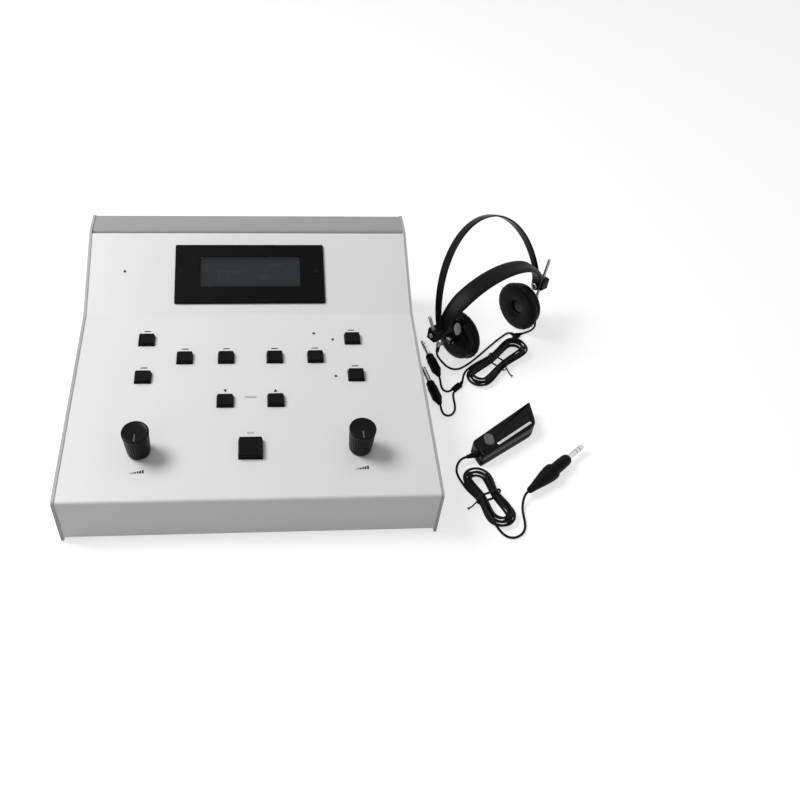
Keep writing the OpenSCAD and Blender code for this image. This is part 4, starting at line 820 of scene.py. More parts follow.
for name, side in sides.items():
    outward = headDirection(1, 0, 0, side)
    block = headBox(pivot["block"], pivot["round"], 5, (headset["rodX"], 0, 0), side)
    lips = [headBox(pivot["lip"], 0.4, 3, (headset["rodX"], 0, z), side) for z in (-6.2, 6.2)]
    housing = addPiece(name + "PivotHousing", *joined([block] + lips), shellBlack, "console", "pivot_plastic", 40)
    shank = pivot["rivetShank"] * mm
    rivets = joined([roundHead(pivot["rivetHead"] * mm, 1.3 * mm, alongHead(81.4, 0, 0, side), -outward),
                     turned([(0, shank), (6.2 * mm, shank)], alongHead(83.5, 0, 0, side), outward, 24),
                     crossHead(pivot["screwHead"] * mm, 1.5 * mm, alongHead(102.2, 0, 0, side), outward)])
    rivet = addPiece(name + "PivotScrews", *rivets, screwSteel, "console", "fasteners", 40)
    for piece in (housing, rivet):
        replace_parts(piece, "pivot_blocks")
print("stage: pivots")

# Slider rods: a bar with round ends that leans through its block, an arm in to the hinge, the
# hinge's forked block and pin, and a ribbed black gland for the lead
rod = {"radius": 2, "top": 37, "armRadius": 2.5, "hingeReach": 5.5, "pin": 1.5, "lug": (3.9, 3.0),
       "gland": np.array([(0, 1.5), (0, 2.2), (0.6, 2.25), (1.2, 2.0), (1.8, 2.0), (2.3, 2.35), (3.0, 2.35),
                          (3.5, 2.05), (4.0, 2.05), (4.5, 2.45), (5.2, 2.45), (5.7, 2.15), (6.2, 2.15), (6.7, 2.5),
                          (9, 2.55), (9.6, 2.2), (9.6, 0.1)])}
for name, side in sides.items():
    lean = math.radians(headset["leans"][name])
    cupZ = headset["cupZ"]
    foot = headset["rodX"] + cupZ * math.tan(lean)
    hinge = headset["faces"][name] + rod["hingeReach"]
    r, a = rod["radius"], rod["armRadius"]
    axis, inward = headDirection(math.sin(lean), 0, math.cos(lean), side), headDirection(-1, 0, 0, side)
    length = rod["top"] - cupZ / math.cos(lean)
    profile = [(0, 0.1), (0.1, r * 0.7), (0.8, r), (22, r)]
    for d in np.arange(26, length - 6, 3.0):
        profile += [(d, r), (d + 0.3, r - 0.22), (d + 0.7, r - 0.22), (d + 1.0, r)]
    profile += [(length - 1.6, r), (length - 0.9, r * 0.86), (length - 0.35, r * 0.55), (length, 0.1)]
    bar = turned(np.array(profile) * mm, alongHead(foot, 0, cupZ, side), axis, 28)
    reach = foot + a - hinge - 2
    arm = turned(np.array([(-0.3, 0.1), (-0.2, a * 0.7), (0.6, a), (reach - 0.6, a), (reach, a * 0.8),
                           (reach, 0.1)]) * mm, alongHead(foot + a, 0, cupZ, side), inward, 28)
    fork = headBox((6, 7.2, 7), 0.9, 4, (hinge, 0, cupZ), side)
    pinEnd = sum(rod["lug"])
    pinProfile = np.array([(0, rod["pin"]), (pinEnd, rod["pin"]), (pinEnd, 2.3), (pinEnd + 0.5, 2.2),
                           (pinEnd + 0.9, 1.4), (pinEnd + 1.0, 0.1)]) * mm
    pin = [turned(pinProfile, alongHead(hinge, 0, cupZ, side), headDirection(0, s, 0, side), 28) for s in (-1, 1)]
    bars = addPiece(name + "SliderRod", *joined([bar, arm, fork] + pin), rodSteel, name + "_slider_rod",
                    "rod_steel", 40)
    gland = addPiece(name + "Gland", *turned(rod["gland"] * mm, alongHead(foot, 0, -34.5, side), (0, 0, 1), 32),
                     fittingBlack, name + "_slider_rod", "fitting_plastic", 40)
    for piece in (bars, gland):
        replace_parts(piece, name + "_slider_rod")
print("stage: rods")

# Earphones: turned shells with a rounded rim, a step and hinge lugs; padded rings; a pierced grille
shell = {"thickness": 9, "lug": (3.9, 3.0), "plate": (5.6, 9.2, 0.5), "glintOvalAt": (-5, 19)}
cushion = {"radius": 33, "opening": 9, "thickness": 10}
grille = {"radius": 9, "rise": 2.5, "pitch": 1.75, "hole": 0.56}
shellProfile = np.array([(0, 0.02), (0, 6), (0.02, 12), (0.05, 18.2), (0.55, 18.6), (0.55, 19.6), (0.08, 20.1),
                         (0.25, 23.5), (0.8, 26), (1.7, 28), (3.1, 29.3), (4.6, 29.9), (6.0, 30), (6.3, 29.6),
                         (6.6, 29.6), (6.9, 30), (8.6, 30), (9.0, 29.7), (9.0, 26), (9.0, 22.3), (9.0, 0.02)])


# Cushion: a closed loop (r, n) of a stuffed ring turned round the ear axis. Its crown is half an
# ellipse between the opening and the rim; the skin is drawn in at the seam, with puckers there
# and towards the opening that follow cosines of the angle
def cushionRings(face, side, aroundCount=216):
    r0, r1, t = cushion["opening"], cushion["radius"], cushion["thickness"]
    u = np.linspace(0, np.pi, 30)
    middle, reach = (r0 + r1) / 2, (r1 - r0) / 2
    crownR = middle + reach * np.sign(np.cos(u)) * np.abs(np.cos(u)) ** 0.62
    crownN = t * (0.36 + 0.64 * np.sin(u) ** 0.62)
    back = np.array([(r0 + 0.8, 0.2), (r0 + 3.5, 0.0), (20, 0.0), (27.6, 0.0), (29.2, 0.25), (29.9, 1.3), (30.2, 2.1),
                     (31.6, 2.5), (32.6, 3.1)])
    loop = np.vstack([np.stack([crownR, crownN], 1), back])
    a = np.linspace(0, 2 * np.pi, aroundCount, endpoint=False)[:, None]
    r, n = loop[:, 0][None], loop[:, 1][None]
    front = np.clip((n - 3.2) / 3, 0, 1)
    inner = np.exp(-((r - r0) / 3.2) ** 2) * front
    rim = np.exp(-((r - r1 + 0.4) / 1.7) ** 2) * np.clip((n - 2.6) / 1.2, 0, 1)
    pucker = np.cos(23 * a + 0.7 * np.sin(5 * a)) + 0.5 * np.cos(37 * a + 1.1)
    n = n + inner * 0.28 * pucker - 0.22 * rim * np.cos(31 * a + np.sin(3 * a)) + 0.16 * np.cos(3 * a + r / 6) * front
    r = r + rim * 0.22 * (np.cos(31 * a + 0.6) + 0.6 * np.cos(17 * a)) - 0.15
    points = np.stack([face - shell["thickness"] - n, r * np.cos(a), headset["cupZ"] + r * np.sin(a)], -1)
    return closedSkin(onHead(points * mm, side), True)


# Pierced disc: hexagons packed at one pitch, each with a round hole whose wall runs down, and the
# hexagons' outer edges meeting. Each hexagon is the same 12 outer and 12 inner points
def piercedDisc(radius, dome):
    pitch, hole = grille["pitch"], grille["hole"]
    n = int(radius / pitch) + 2
    i, j = np.meshgrid(np.arange(-n, n + 1), np.arange(-n, n + 1), indexing="ij")
    cx, cy = (pitch * (i + 0.5 * j)).ravel(), (pitch * j * math.sqrt(0.75)).ravel()
    keep = np.hypot(cx, cy) < radius - pitch * 0.55
    cx, cy = cx[keep], cy[keep]
    a = np.arange(12) * np.pi / 6 + np.pi / 6
    rim = pitch / 2 / np.where(np.arange(12) % 2 == 0, math.cos(np.pi / 6), 1.0)
    rings = [(rim, 0.0), (np.full(12, hole * 1.15), 0.0), (np.full(12, hole), -0.12), (np.full(12, hole), -0.7)]
    layers = []
    for r, depth in rings:
        x, y = cx[:, None] + r * np.cos(a), cy[:, None] + r * np.sin(a)
        layers.append(np.stack([x, y, dome(np.hypot(x, y)) + depth], -1))
    grid = np.stack(layers, 1)
    count = len(cx)
    k = np.arange(12)
    quads = np.concatenate([np.stack([m * 12 + k, m * 12 + (k + 1) % 12, (m + 1) * 12 + (k + 1) % 12,
                                      (m + 1) * 12 + k], 1) for m in range(3)])
    faces = (np.arange(count)[:, None, None] * 48 + quads[None]).reshape(-1, 4)
    return grid.reshape(-1, 3), faces.tolist()


for name, side in sides.items():
    face, body, cupZ = headset["faces"][name], name + "_earphone", headset["cupZ"]
    outward = headDirection(1, 0, 0, side)
    dome = turned(shellProfile * mm, alongHead(face, 0, cupZ, side), -outward, 96)
    start, thick = shell["lug"]
    lugs = [headBox((10.5, thick, 8), 0.8, 4, (face + 4.25, s * (start + thick / 2), cupZ), side) for s in (-1, 1)]
    cup = addPiece(name + "Shell", *joined([dome] + lugs), shellBlack, body, "shell_plastic", 40)
    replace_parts(cup, body + "_shell")
    pad = addPiece(name + "Cushion", *cushionRings(face, side), cushionVinyl, body, "cushion_vinyl", 60)
    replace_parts(pad, name + "_ear_cushion")
    depth = face - shell["thickness"] - grille["rise"]
    sunk = alongHead(depth, 0, cupZ, side)
    disc = piercedDisc(grille["radius"], lambda r: 0.5 - 0.5 * (r / grille["radius"]) ** 2)
    local = np.stack([depth - disc[0][:, 2] + 0.3, disc[0][:, 0], cupZ + disc[0][:, 1]], 1) * mm
    pierced = (onHead(local, side), mirroredFaces([f[::-1] for f in disc[1]], side))
    rim = turned(np.array([(0.9, 8.9), (0.1, 8.9), (-0.1, 8.7), (-0.15, 8.1), (0.05, 7.7), (0.6, 7.6),
                           (0.9, 7.6)]) * mm, sunk, outward, 72, looped=True)
    screen = addPiece(name + "Grille", *joined([pierced, rim]), grilleGrey, body, "driver_metal", 40)
    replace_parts(screen, body + "_driver")
    backing = turned(np.array([(1.0, 0.02), (1.0, 9.0), (1.6, 9.0), (1.6, 0.02)]) * mm, sunk, outward)
    addPiece(name + "GrilleCloth", *backing, fittingBlack, body, "driver_metal", 40)
    # Left earphone only: a pale oval high on the shell's outer face, a painted highlight of the glossy shell
    if name == "left":
        w, h, t = shell["plate"]
        y, z = shell["glintOvalAt"]
        a = np.linspace(0, 2 * np.pi, 64, endpoint=False)
        levels = [(1.0, 0.0), (1.0, t * 0.7), (0.95, t), (0.02, t * 1.02)]
        rings = np.stack([np.stack([np.full(64, face + up), y + k * w * np.cos(a), cupZ + z + k * h * np.sin(a)], 1)
                          for k, up in levels])
        addPiece(name + "Plate", *closedSkin(onHead(rings * mm, side)), paleInkAndGlint, body, "driver_metal", 40)
print("stage: earphones")

# Response switch. Its own frame: origin at the middle of the case, x away from its cord
response = {"at": (295.6 * mm, -72.1 * mm), "turn": math.radians(35.5), "height": 20, "split": 9, "fillet": 3.2,
            "outline": [(-44, 12), (-52, -12), (30, -15.5), (38, -13), (44, -6), (59, 14.5), (56, 15)],
            "buttonAt": (-28, 1), "buttonTurn": 55, "button": (11, 17), "buttonRise": 1.8, "pocketGap": 0.4,
            "highlightStripAt": (4, -9.5), "highlightStrip": (57, 3.4), "highlightStripTop": 20.4}


def onResponse(points):
    return turnedTo(np.asarray(points, float) * mm, (*response["at"], 0), response["turn"])


# Outline with its corners rounded: even points round the polygon, averaged with their neighbours
def roundOutline(points, spacing, rounds):
    loop = np.array(points + points[:1], float)
    flat = evenSteps(np.concatenate([loop, np.zeros((len(loop), 1))], 1), spacing)[:-1, :2]
    for _ in range(rounds):
        flat = (np.roll(flat, 1, 0) + 2 * flat + np.roll(flat, -1, 0)) / 4
    return flat


def inwardOf(flat):
    along = np.roll(flat, -1, 0) - np.roll(flat, 1, 0)
    normal = unit(np.stack([-along[:, 1], along[:, 0]], 1))
    area = np.sum(flat[:, 0] * np.roll(flat[:, 1], -1) - np.roll(flat[:, 0], -1) * flat[:, 1])
    return normal if area > 0 else -normal


# Oval ring of the button's pocket, point by point on the same rays as the outline
def ovalOn(flat, grow):
    w, l = response["button"][0] / 2 + grow, (response["button"][1] - response["button"][0]) / 2
    t = math.radians(response["buttonTurn"] - 90)
    away = flat - np.array(response["buttonAt"])
    a = np.arctan2(away[:, 1], away[:, 0]) - t
    x, y = np.cos(a), np.sin(a)
    flatSide = w / np.maximum(np.abs(x), 1e-6)
    onSide = np.abs(flatSide * y) <= l
    round_ = l * np.abs(y) + np.sqrt(np.maximum(w ** 2 - (l * x) ** 2, 0))
    r = np.where(onSide, flatSide, round_)
    return np.array(response["buttonAt"]) + np.stack([r * np.cos(a + t), r * np.sin(a + t)], 1)


# Case: the outline drawn in by the fillet at top and bottom and by a groove at the split, then
# over the flat top to the button's pocket and down into it
flat = roundOutline(response["outline"], 0.9, 14)
inward = inwardOf(flat)
f, h, z = response["fillet"], response["height"], response["split"]
q = np.linspace(0, np.pi / 2, 8)
levels = ([(1.4 * (1 - math.sin(t)), 1.4 * (1 - math.cos(t))) for t in q]
          + [(0, z - 0.5), (0.12, z - 0.32), (0.6, z - 0.25), (0.6, z + 0.25), (0.12, z + 0.32), (0, z + 0.5)]
          + [(f * (1 - math.cos(t)), h - f + f * math.sin(t)) for t in q])
wall = [np.column_stack([flat + inset * inward, np.full(len(flat), up)]) for inset, up in levels]
edge = flat + f * inward
oval = ovalOn(flat, response["pocketGap"] + 0.25)
over = [np.column_stack([edge + (oval - edge) * t, np.full(len(flat), h)])
        for t in (0.06, 0.2, 0.45, 0.7, 0.88, 1.0)]
pocket = [np.column_stack([ovalOn(flat, response["pocketGap"] + g), np.full(len(flat), h + up)])
          for g, up in ((0.1, -0.06), (0.0, -0.3), (0.0, -4.2))]
caseShell = closedSkin(onResponse(np.stack(wall + over + pocket)))
glandStart = onResponse([(-48, 0, z)])[0]
toCord = responsePath[0] - glandStart
glandAxis = unit(toCord)
glandLength = float(np.linalg.norm(toCord)) / mm
glandRibs = [(d + along, radius - 0.17 * d) for d in np.arange(1.6, glandLength - 2.2, 1.9)
             for along, radius in ((0, 4.1), (0.25, 3.45), (0.85, 3.4), (1.1, 4.0))]
glandProfile = np.array([(-2.0, 4.6), (0.3, 4.6), (0.8, 4.2)] + glandRibs
                        + [(glandLength - 0.5, 2.3), (glandLength, 2.0), (glandLength, 1.35)])
caseGland = turned(glandProfile * mm, glandStart, glandAxis, 36)
case = addPiece("responseCaseShell", *joined([caseShell, caseGland]), caseBlack, "console", "switch_plastic", 40)
# Silver strip along the front edge of the case's top: a painted highlight where that rounded edge catches the light
highlightStrip = roundedBox(np.array((response["highlightStrip"][0], response["highlightStrip"][1], 1.4)) * mm, 0.6 * mm, 5)
highlightStripPoints = highlightStrip[0] / mm + np.array((*response["highlightStripAt"], response["highlightStripTop"] - 0.7))
strip = addPiece("responseEdgeHighlight", onResponse(highlightStripPoints), highlightStrip[1], edgeHighlightSilver, "console", "switch_plastic", 40)
for piece in (case, strip):
    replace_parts(piece, "response_case")

# Push button: the pocket's oval less the gap, with a rounded edge and a slightly dished top
t = np.linspace(0, np.pi / 2, 7)
top = h + response["buttonRise"]
rise = [(0.0, h - 1.5), (0.0, top - 1.1)] + [(1.1 * (1 - math.cos(v)), top - 1.1 + 1.1 * math.sin(v)) for v in t[1:]]
middle = np.array(response["buttonAt"])
buttonRings = [np.column_stack([ovalOn(flat, -g), np.full(len(flat), up)]) for g, up in rise]
last = buttonRings[-1][:, :2]
buttonRings += [np.column_stack([middle + (last - middle) * k, np.full(len(flat), top - 0.35 * (1 - k ** 2))])
                for k in (0.85, 0.6, 0.35, 0.12, 0.01)]
button = addPiece("responseButtonCap", *closedSkin(onResponse(np.stack(buttonRings))), buttonGrey,
                  "response_button", "button_plastic", 50)
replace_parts(button, "response_button")
print("stage: response switch")

# Panels of the console: a point (x, s up the slope, h off the panel) in millimetres, to the frame
panels = {"lower": (-199, 62, math.radians(5.822)), "upper": (56, 88, math.radians(23.71))}


def onPanel(panel, points):
    y0, z0, tilt = panels[panel]
    points = np.asarray(points, float) * mm
    c, s = math.cos(tilt), math.sin(tilt)
    return placed(points, (0, y0 * mm, z0 * mm), (1, 0, 0), (0, c, s), (0, -s, c))


def panelUp(panel):
    tilt = panels[panel][2]
    return np.array((0, -math.sin(tilt), math.cos(tilt)))


# Knobs: turned, narrow at the foot and wide at the top, with grip ribs as a cosine of the angle that
# fade out at both ends, a dished top, and a grey pointer line from the middle to the edge
knob = {"x": 114.5, "s": 61, "lift": 1, "height": 33, "footRadius": 12, "topRadius": 14, "ribs": 30, "ribDepth": 0.32,
        "round": 1.4, "pointer": (1.3, 9.6, 0.28), "pointerAt": (-8.2, -0.55)}


def knobGrip(d, a):
    fade = smoothBlend(0, 1, (d / mm - 3.5) / 3) * smoothBlend(1, 0, (d / mm - 27.5) / 2.5)
    return -knob["ribDepth"] * mm * fade * (0.5 + 0.5 * np.cos(knob["ribs"] * a)) ** 1.5


def knobParts(x):
    f, t, h, c = knob["footRadius"], knob["topRadius"], knob["height"], knob["round"]
    slope = (t - f) / h
    d = np.concatenate([[0, 0, 0.15, 0.5, 1.0], np.arange(1.8, h - 3.2, 0.9), [h - 3, h - 2.6, h - 2.2, h - c]])
    r = np.concatenate([[5.0, f - 0.9, f - 0.4, f - 0.1, f], f + slope * np.arange(1.8, h - 3.2, 0.9),
                        [t - 0.25, t - 0.05, t, t]])
    v = np.linspace(0, np.pi / 2, 8)
    d = np.concatenate([d, h - c + c * np.sin(v), [h - 0.25, h - 0.6, h - 0.75, h - 0.75]])
    r = np.concatenate([r, t - c + c * np.cos(v), [t - 2.2, t - 4.5, t - 8, 0.05]])
    base = onPanel("lower", [(x, knob["s"], knob["lift"])])[0]
    return turned(np.stack([d, r], 1) * mm, base, panelUp("lower"), 240, knobGrip)


def pointerParts(x):
    w, l, t = knob["pointer"]
    bar = roundedBox((w, l, t + 0.5), 0.12, 2)
    back, sunk = knob["pointerAt"]
    return onPanel("lower", bar[0] + np.array((x, knob["s"] + back, knob["lift"] + knob["height"] + sunk))), bar[1]


for name, x in (("left", -knob["x"]), ("right", knob["x"])):
    grip = addPiece(name + "KnobGrip", *knobParts(x), knobBlack, name + "_level", "knob_plastic", 45)
    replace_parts(grip, name + "_level_knob")
    addPiece(name + "KnobPointer", *pointerParts(x), buttonGrey, name + "_level", "knob_plastic", 45)
print("stage: knobs")

# Keys: rounded caps whose tops are dished across their width, over the model's own stems
keys = {"small": (18, 16, 5), "tone": (25, 25, 6.5), "corner": 1.9, "edge": 1.1, "taper": 0.35, "dish": 0.45,
        "places": {"left_upper_key": (-118.5, 216), "left_lower_key": (-118.5, 160), "ear_key": (-74, 188),
                   "pulse_key": (-27.5, 188), "store_key": (27.5, 188), "mode_key": (74, 188),
                   "right_upper_key": (118.5, 216), "right_lower_key": (118.5, 160), "down_key": (-27.5, 125),
                   "up_key": (27.5, 125), "tone_key": (0, 61)}}


# Ring of a round-cornered rectangle, evenly spread in angle over its four corner arcs and sides
def cornerRing(w, l, r, corner=8, along=10):
    a = np.linspace(0, np.pi / 2, corner)
    arcs = []
    for k, (sx, sy) in enumerate(((1, 1), (-1, 1), (-1, -1), (1, -1))):
        t = a + k * np.pi / 2
        arcs.append(np.stack([sx * (w / 2 - r) + r * np.cos(t), sy * (l / 2 - r) + r * np.sin(t)], 1))
    between = np.linspace(0, 1, along + 2)[1:-1, None]
    return np.vstack([part for arc, after in zip(arcs, arcs[1:] + arcs[:1])
                      for part in (arc, arc[-1] + (after[0] - arc[-1]) * between)])


def keyCap(x, s, size):
    w, l, h = size
    e = keys["edge"]
    v = np.linspace(0, np.pi / 2, 6)
    levels = [(0.0, -1.0), (0.0, 0.0), (0.1, h * 0.3), (keys["taper"], h - e)]
    levels += [(keys["taper"] + e * (1 - math.cos(t)), h - e + e * math.sin(t)) for t in v[1:]]
    rings = []
    for inset, up in levels:
        flat = cornerRing(w - 2 * inset, l - 2 * inset, max(keys["corner"] - inset * 0.6, 0.5))
        rings.append(np.column_stack([flat, np.full(len(flat), up)]))
    rim = rings[-1]
    for k in (0.92, 0.78, 0.6, 0.4, 0.2, 0.02):
        flat = rim[:, :2] * k
        dish = keys["dish"] * (1 - (flat[:, 1] / (l / 2)) ** 2) * (1 - k ** 4) ** 0.5
        rings.append(np.column_stack([flat, rim[:, 2] - dish]))
    return closedSkin(onPanel("lower", np.stack(rings) + np.array((x, s, 0))))


for node, (x, s) in keys["places"].items():
    size = keys["tone" if node == "tone_key" else "small"]
    cap = addPiece(node.replace("_key", "") + "KeyCap", *keyCap(x, s, size), blackKey, node, "key_plastic", 45)
    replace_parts(cap, node)
print("stage: keys")

# Screws: crossed heads on the sides, the rear and the bezel
rearFace = 199
screws = {"radius": 2.85 * mm, "height": 1.5 * mm, "side": 195 * mm, "rear": rearFace * mm,
          "sidePlaces": [(-150, 16), (150, 16), (191, 84)], "panelPlaces": (44, 226), "below": 8,
          "rearPlaces": [(-186, 96), (186, 96)], "bezelPlaces": [(-81, 57.9, 3), (81, 57.9, 3)]}
foldY, foldZ, panelTilt = panels["lower"]
sideYZ = screws["sidePlaces"] + [(foldY + s * math.cos(panelTilt) + screws["below"] * math.sin(panelTilt),
                                  foldZ + s * math.sin(panelTilt) - screws["below"] * math.cos(panelTilt))
                                 for s in screws["panelPlaces"]]
headSize = (screws["radius"], screws["height"])
heads = [crossHead(*headSize, (side * screws["side"], y * mm, z * mm), (side, 0, 0), turn=0.5 * k)
         for side in (-1, 1) for k, (y, z) in enumerate(sideYZ)]
heads += [crossHead(*headSize, (x * mm, screws["rear"], z * mm), (0, 1, 0), turn=x) for x, z in screws["rearPlaces"]]
caseHeads = addPiece("caseScrewHeads", *joined(heads), screwSteel, "console", "fasteners", 40)
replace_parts(caseHeads, "case_screws")
bezelHeads = addPiece("bezelScrewHeads", *joined([
    crossHead(*headSize, onPanel("upper", [p])[0], panelUp("upper"), turn=0.3 * p[0])
    for p in screws["bezelPlaces"]]), fittingBlack, "console", "fasteners", 40)
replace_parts(bezelHeads, "bezel_screws")

# Socket nuts: six-sided rings with their corners turned off, over the sockets' bushes
nut = {"across": 17.1, "bore": 6.1, "thickness": 2.45, "places": (130, 98, 66), "height": 60}


def nutParts(x):
    a = np.linspace(0, 2 * np.pi, 72, endpoint=False)
    hexagon = nut["across"] / 2 * math.cos(math.pi / 6) / np.cos((a % (math.pi / 3)) - math.pi / 6)
    rounded = np.minimum(hexagon, nut["across"] / 2 - 0.55)
    t = nut["thickness"]
    rings = [(np.full(72, nut["bore"]), -0.05), (hexagon, -0.05), (hexagon, t - 0.5), (rounded, t),
             (np.full(72, nut["bore"] + 0.4), t), (np.full(72, nut["bore"]), t - 0.4)]
    grid = np.stack([np.stack([x + r * np.cos(a), np.full(72, rearFace + y), nut["height"] + r * np.sin(a)], 1)
                     for r, y in rings])
    return closedSkin(grid * mm, True)


addPiece("socketNuts", *joined([nutParts(x) for x in nut["places"]]), plugNickel, "console", "fitting_plastic", 30)
print("stage: screws and nuts")

# Printed marks, thinner than a tenth of a millimetre: bars, arrows, and a wedge below each knob
marks = {"thickness": 0.06, "bar": (7.5, 1.5), "above": 14.8, "arrow": 4.4, "wedge": (15, 4.2), "wedgeS": 33.5,
         "steps": 6}


def printed(panel, outlines):
    parts = []
    for outline in outlines:
        flat = np.array(outline, float)
        n = len(flat)
        points = np.vstack([np.column_stack([flat, np.full(n, up)]) for up in (-0.02, marks["thickness"])])
        faces = [list(range(n))[::-1], list(range(n, 2 * n))]
        faces += [[k, (k + 1) % n, n + (k + 1) % n, n + k] for k in range(n)]
        parts.append((onPanel(panel, points), faces))
    return joined(parts)


def barAt(x, s, w, l):
    return [(x - w / 2, s - l / 2), (x + w / 2, s - l / 2), (x + w / 2, s + l / 2), (x - w / 2, s + l / 2)]


dark = [barAt(x, s + marks["above"], *marks["bar"]) for node, (x, s) in keys["places"].items()
        if node not in ("down_key", "up_key", "tone_key")]
g = marks["arrow"] / 2
for node, way in (("down_key", -1), ("up_key", 1)):
    x, s = keys["places"][node]
    s += marks["above"] + 0.4
    dark.append([(x - way * g, s - way * g), (x + way * g, s - way * g), (x, s + way * g)])
(w, l), steps = marks["wedge"], marks["steps"]
for x in (-knob["x"], knob["x"]):
    for k in range(steps):
        left, low = x - w / 2 + k * w / steps, marks["wedgeS"]
        right, high = left + w / steps - 0.7, low + l * (k + 1) / steps
        dark.append([(left, low), (right, low), (right, high), (left, high)])
pale = [barAt(0, 131, 13, 3), barAt(0, 82.5, 7.5, 2.4)]
addPiece("darkMarks", *printed("lower", dark), markInk, "console", "cover_paint", 30)
addPiece("paleMarks", *printed("lower", pale), markPale, "console", "cover_paint", 30)

# Marks of the mains rocker: a bar on its upper half and a ring on its lower half
rocker = {"x": -84, "z": 60, "axis": -3, "rest": math.radians(12), "slope": math.atan2(2, 7), "crown": 3,
          "markAt": 3.8}


def onRocker(points, half):
    x, u, h = np.asarray(points, float).T
    c, s = math.cos(rocker["slope"]), math.sin(rocker["slope"])
    y, z = half * (u * c - h * s), rocker["crown"] + u * s + h * c
    cr, sr = math.cos(rocker["rest"]), math.sin(rocker["rest"])
    back = rearFace + rocker["axis"]
    return np.stack([rocker["x"] + x, back + y * sr + z * cr, rocker["z"] + y * cr - z * sr], 1) * mm


a = np.linspace(0, 2 * np.pi, 40, endpoint=False)
ringGrid = np.stack([np.stack([r * np.cos(a), rocker["markAt"] + r * np.sin(a), np.full(40, h)], 1)
                     for r, h in ((1.05, -0.05), (1.55, -0.05), (1.55, 0.06), (1.05, 0.06))])
ringMark = closedSkin(onRocker(ringGrid.reshape(-1, 3), -1).reshape(ringGrid.shape), True)
barMark = roundedBox((0.55, 3.1, 0.14), 0.05, 2)
barMark = (onRocker(barMark[0] + np.array((0, rocker["markAt"], 0)), 1), [f[::-1] for f in barMark[1]])
addPiece("rockerMarks", *joined([ringMark, barMark]), paleInkAndGlint, "mains_rocker", "fitting_plastic", 30)
print("stage: marks")

# Display: 20 by 4 character places on the glass, and blocks in three of its rows, one row growing like a level
display = {"columns": 20, "rows": 4, "pitch": (5.75, 9.6), "cell": (4.84, 8.4), "middle": 57.9, "depth": -3.0}


def cellParts(chosen):
    w, l = display["cell"]
    block = roundedBox((w, l, 0.12), 0.05, 2)
    parts = []
    for column, row, fill in chosen:
        x = (column - (display["columns"] - 1) / 2) * display["pitch"][0]
        s = display["middle"] - (row - (display["rows"] - 1) / 2) * display["pitch"][1]
        points = block[0] * np.array((1, fill, 1)) + np.array((x, s - l * (1 - fill) / 2, display["depth"] + 0.02))
        parts.append((onPanel("upper", points), block[1]))
    return joined(parts)


every = [(c, r, 1.0) for c in range(display["columns"]) for r in range(display["rows"])]
shown = ([(c, 1, 0.25 + 0.05 * c) for c in range(3, 9)] + [(c, 2, 1.0) for c in (3, 4, 5, 12, 13)]
         + [(c, 0, 0.55) for c in (14, 15, 16)])
addPiece("displayCells", *cellParts(every), cellDim, "console", "display_dark", 30)
blocks = cellParts(shown)
addPiece("displayBlocks", blocks[0] + 0.08 * mm * panelUp("upper"), blocks[1], cellShown, "console",
         "display_dark", 30)
print("stage: display")

# The model's own pieces that stay, and their finishes
kept = [(coverPaint, "top_cover"), (sidePaint, "left_side_plate", "right_side_plate"), (rearPaint, "rear_panel"),
        (plateAluminium, "base_plate", "case_blocks"), (footRubber, "rubber_feet"), (bezelBlack, "display_bezel"),
        (windowTint, "display_window"), (glassDark, "display_glass"), (boardGreen, "key_board", "main_board"),
        (brassTurned, "board_pillars"), (rodSteel, "left_level_shaft", "right_level_shaft"),
        (screwSteel, "level_encoders"), (lensGrey, "indicator_lights"), (ironCore, "mains_transformer"),
        (blackKey, "mains_rocker"), (fittingBlack, "display_module", "key_switches", "board_components",
                                     "mains_inlet", "mains_switch_body", "phone_sockets")]
for finish, *names in kept:
    for node in names:
        slots = nodes[node].material_slots
        for place in slots:
            place.material = finish
        if not slots:
            nodes[node].data.materials.append(finish)

# Floor and light. Camera, mirror and see-through rays get a glow added to the floor and a white sky
studio = {"worldLevel": 0.3, "floorGlow": 0.66, "reach": 4, "drop": 0.0003,
          "lamps": {"overhead": ((-1.15, 0.25, 1.75), (0.05, 0.0, 0.05), 1.0, 32),
                    "fill": ((-0.9, -1.5, 1.0), (0, 0, 0.05), 1.2, 1.5)}}


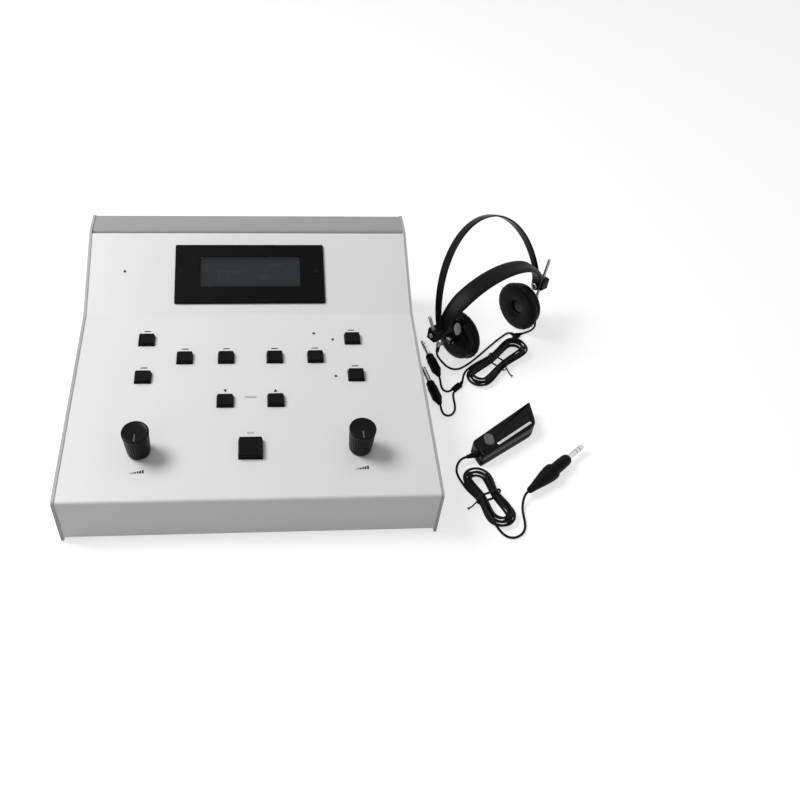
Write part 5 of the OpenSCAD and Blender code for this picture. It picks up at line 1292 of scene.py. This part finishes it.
def seenRay(tree):
    ray = tree.nodes.new("ShaderNodeLightPath")
    total = ray.outputs["Is Camera Ray"]
    for other in ("Is Transmission Ray", "Is Glossy Ray"):
        step = tree.nodes.new("ShaderNodeMath")
        step.operation = "MAXIMUM"
        tree.links.new(total, step.inputs[0])
        tree.links.new(ray.outputs[other], step.inputs[1])
        total = step.outputs[0]
    return total


floorMesh = bpy.data.meshes.new("floor")
corners = [(x * studio["reach"], y * studio["reach"], -studio["drop"]) for x, y in ((-1, -1), (1, -1), (1, 1), (-1, 1))]
floorMesh.from_pydata(corners, [], [(0, 1, 2, 3)])
floor = bpy.data.objects.new("floor", floorMesh)
bpy.context.scene.collection.objects.link(floor)
floorPaint = bpy.data.materials.new("floorPaint")
floorPaint.use_nodes = True
shader = floorPaint.node_tree.nodes["Principled BSDF"]
shader.inputs["Base Color"].default_value = (0.5, 0.5, 0.5, 1)
shader.inputs["Roughness"].default_value = 0.9
shader.inputs["Specular IOR Level"].default_value = 0.1
shader.inputs["Emission Strength"].default_value = 1.0
glow = floorPaint.node_tree.nodes.new("ShaderNodeMix")
glow.data_type = "RGBA"
glow.inputs[6].default_value = (0, 0, 0, 1)
glow.inputs[7].default_value = (*grey(studio["floorGlow"]), 1)
floorPaint.node_tree.links.new(seenRay(floorPaint.node_tree), glow.inputs[0])
floorPaint.node_tree.links.new(glow.outputs[2], shader.inputs["Emission Color"])
floorMesh.materials.append(floorPaint)

world = bpy.data.worlds.new("studio")
bpy.context.scene.world = world
world.use_nodes = True
background = world.node_tree.nodes["Background"]
level = world.node_tree.nodes.new("ShaderNodeMix")
level.inputs[2].default_value, level.inputs[3].default_value = studio["worldLevel"], 1.0
world.node_tree.links.new(seenRay(world.node_tree), level.inputs[0])
world.node_tree.links.new(level.outputs[0], background.inputs["Strength"])
background.inputs["Color"].default_value = (1, 1, 1, 1)
bpy.context.scene.view_settings.view_transform = "Standard"

for name, (place, aim, size, power) in studio["lamps"].items():
    lamp = bpy.data.lights.new(name, "AREA")
    lamp.shape, lamp.size, lamp.energy = "DISK", size, power
    holder = bpy.data.objects.new(name, lamp)
    holder.location = place
    direction = np.array(aim, float) - np.array(place, float)
    holder.rotation_euler = Vector(direction).to_track_quat("-Z", "Y").to_euler()
    bpy.context.scene.collection.objects.link(holder)
print("stage: floor and light")
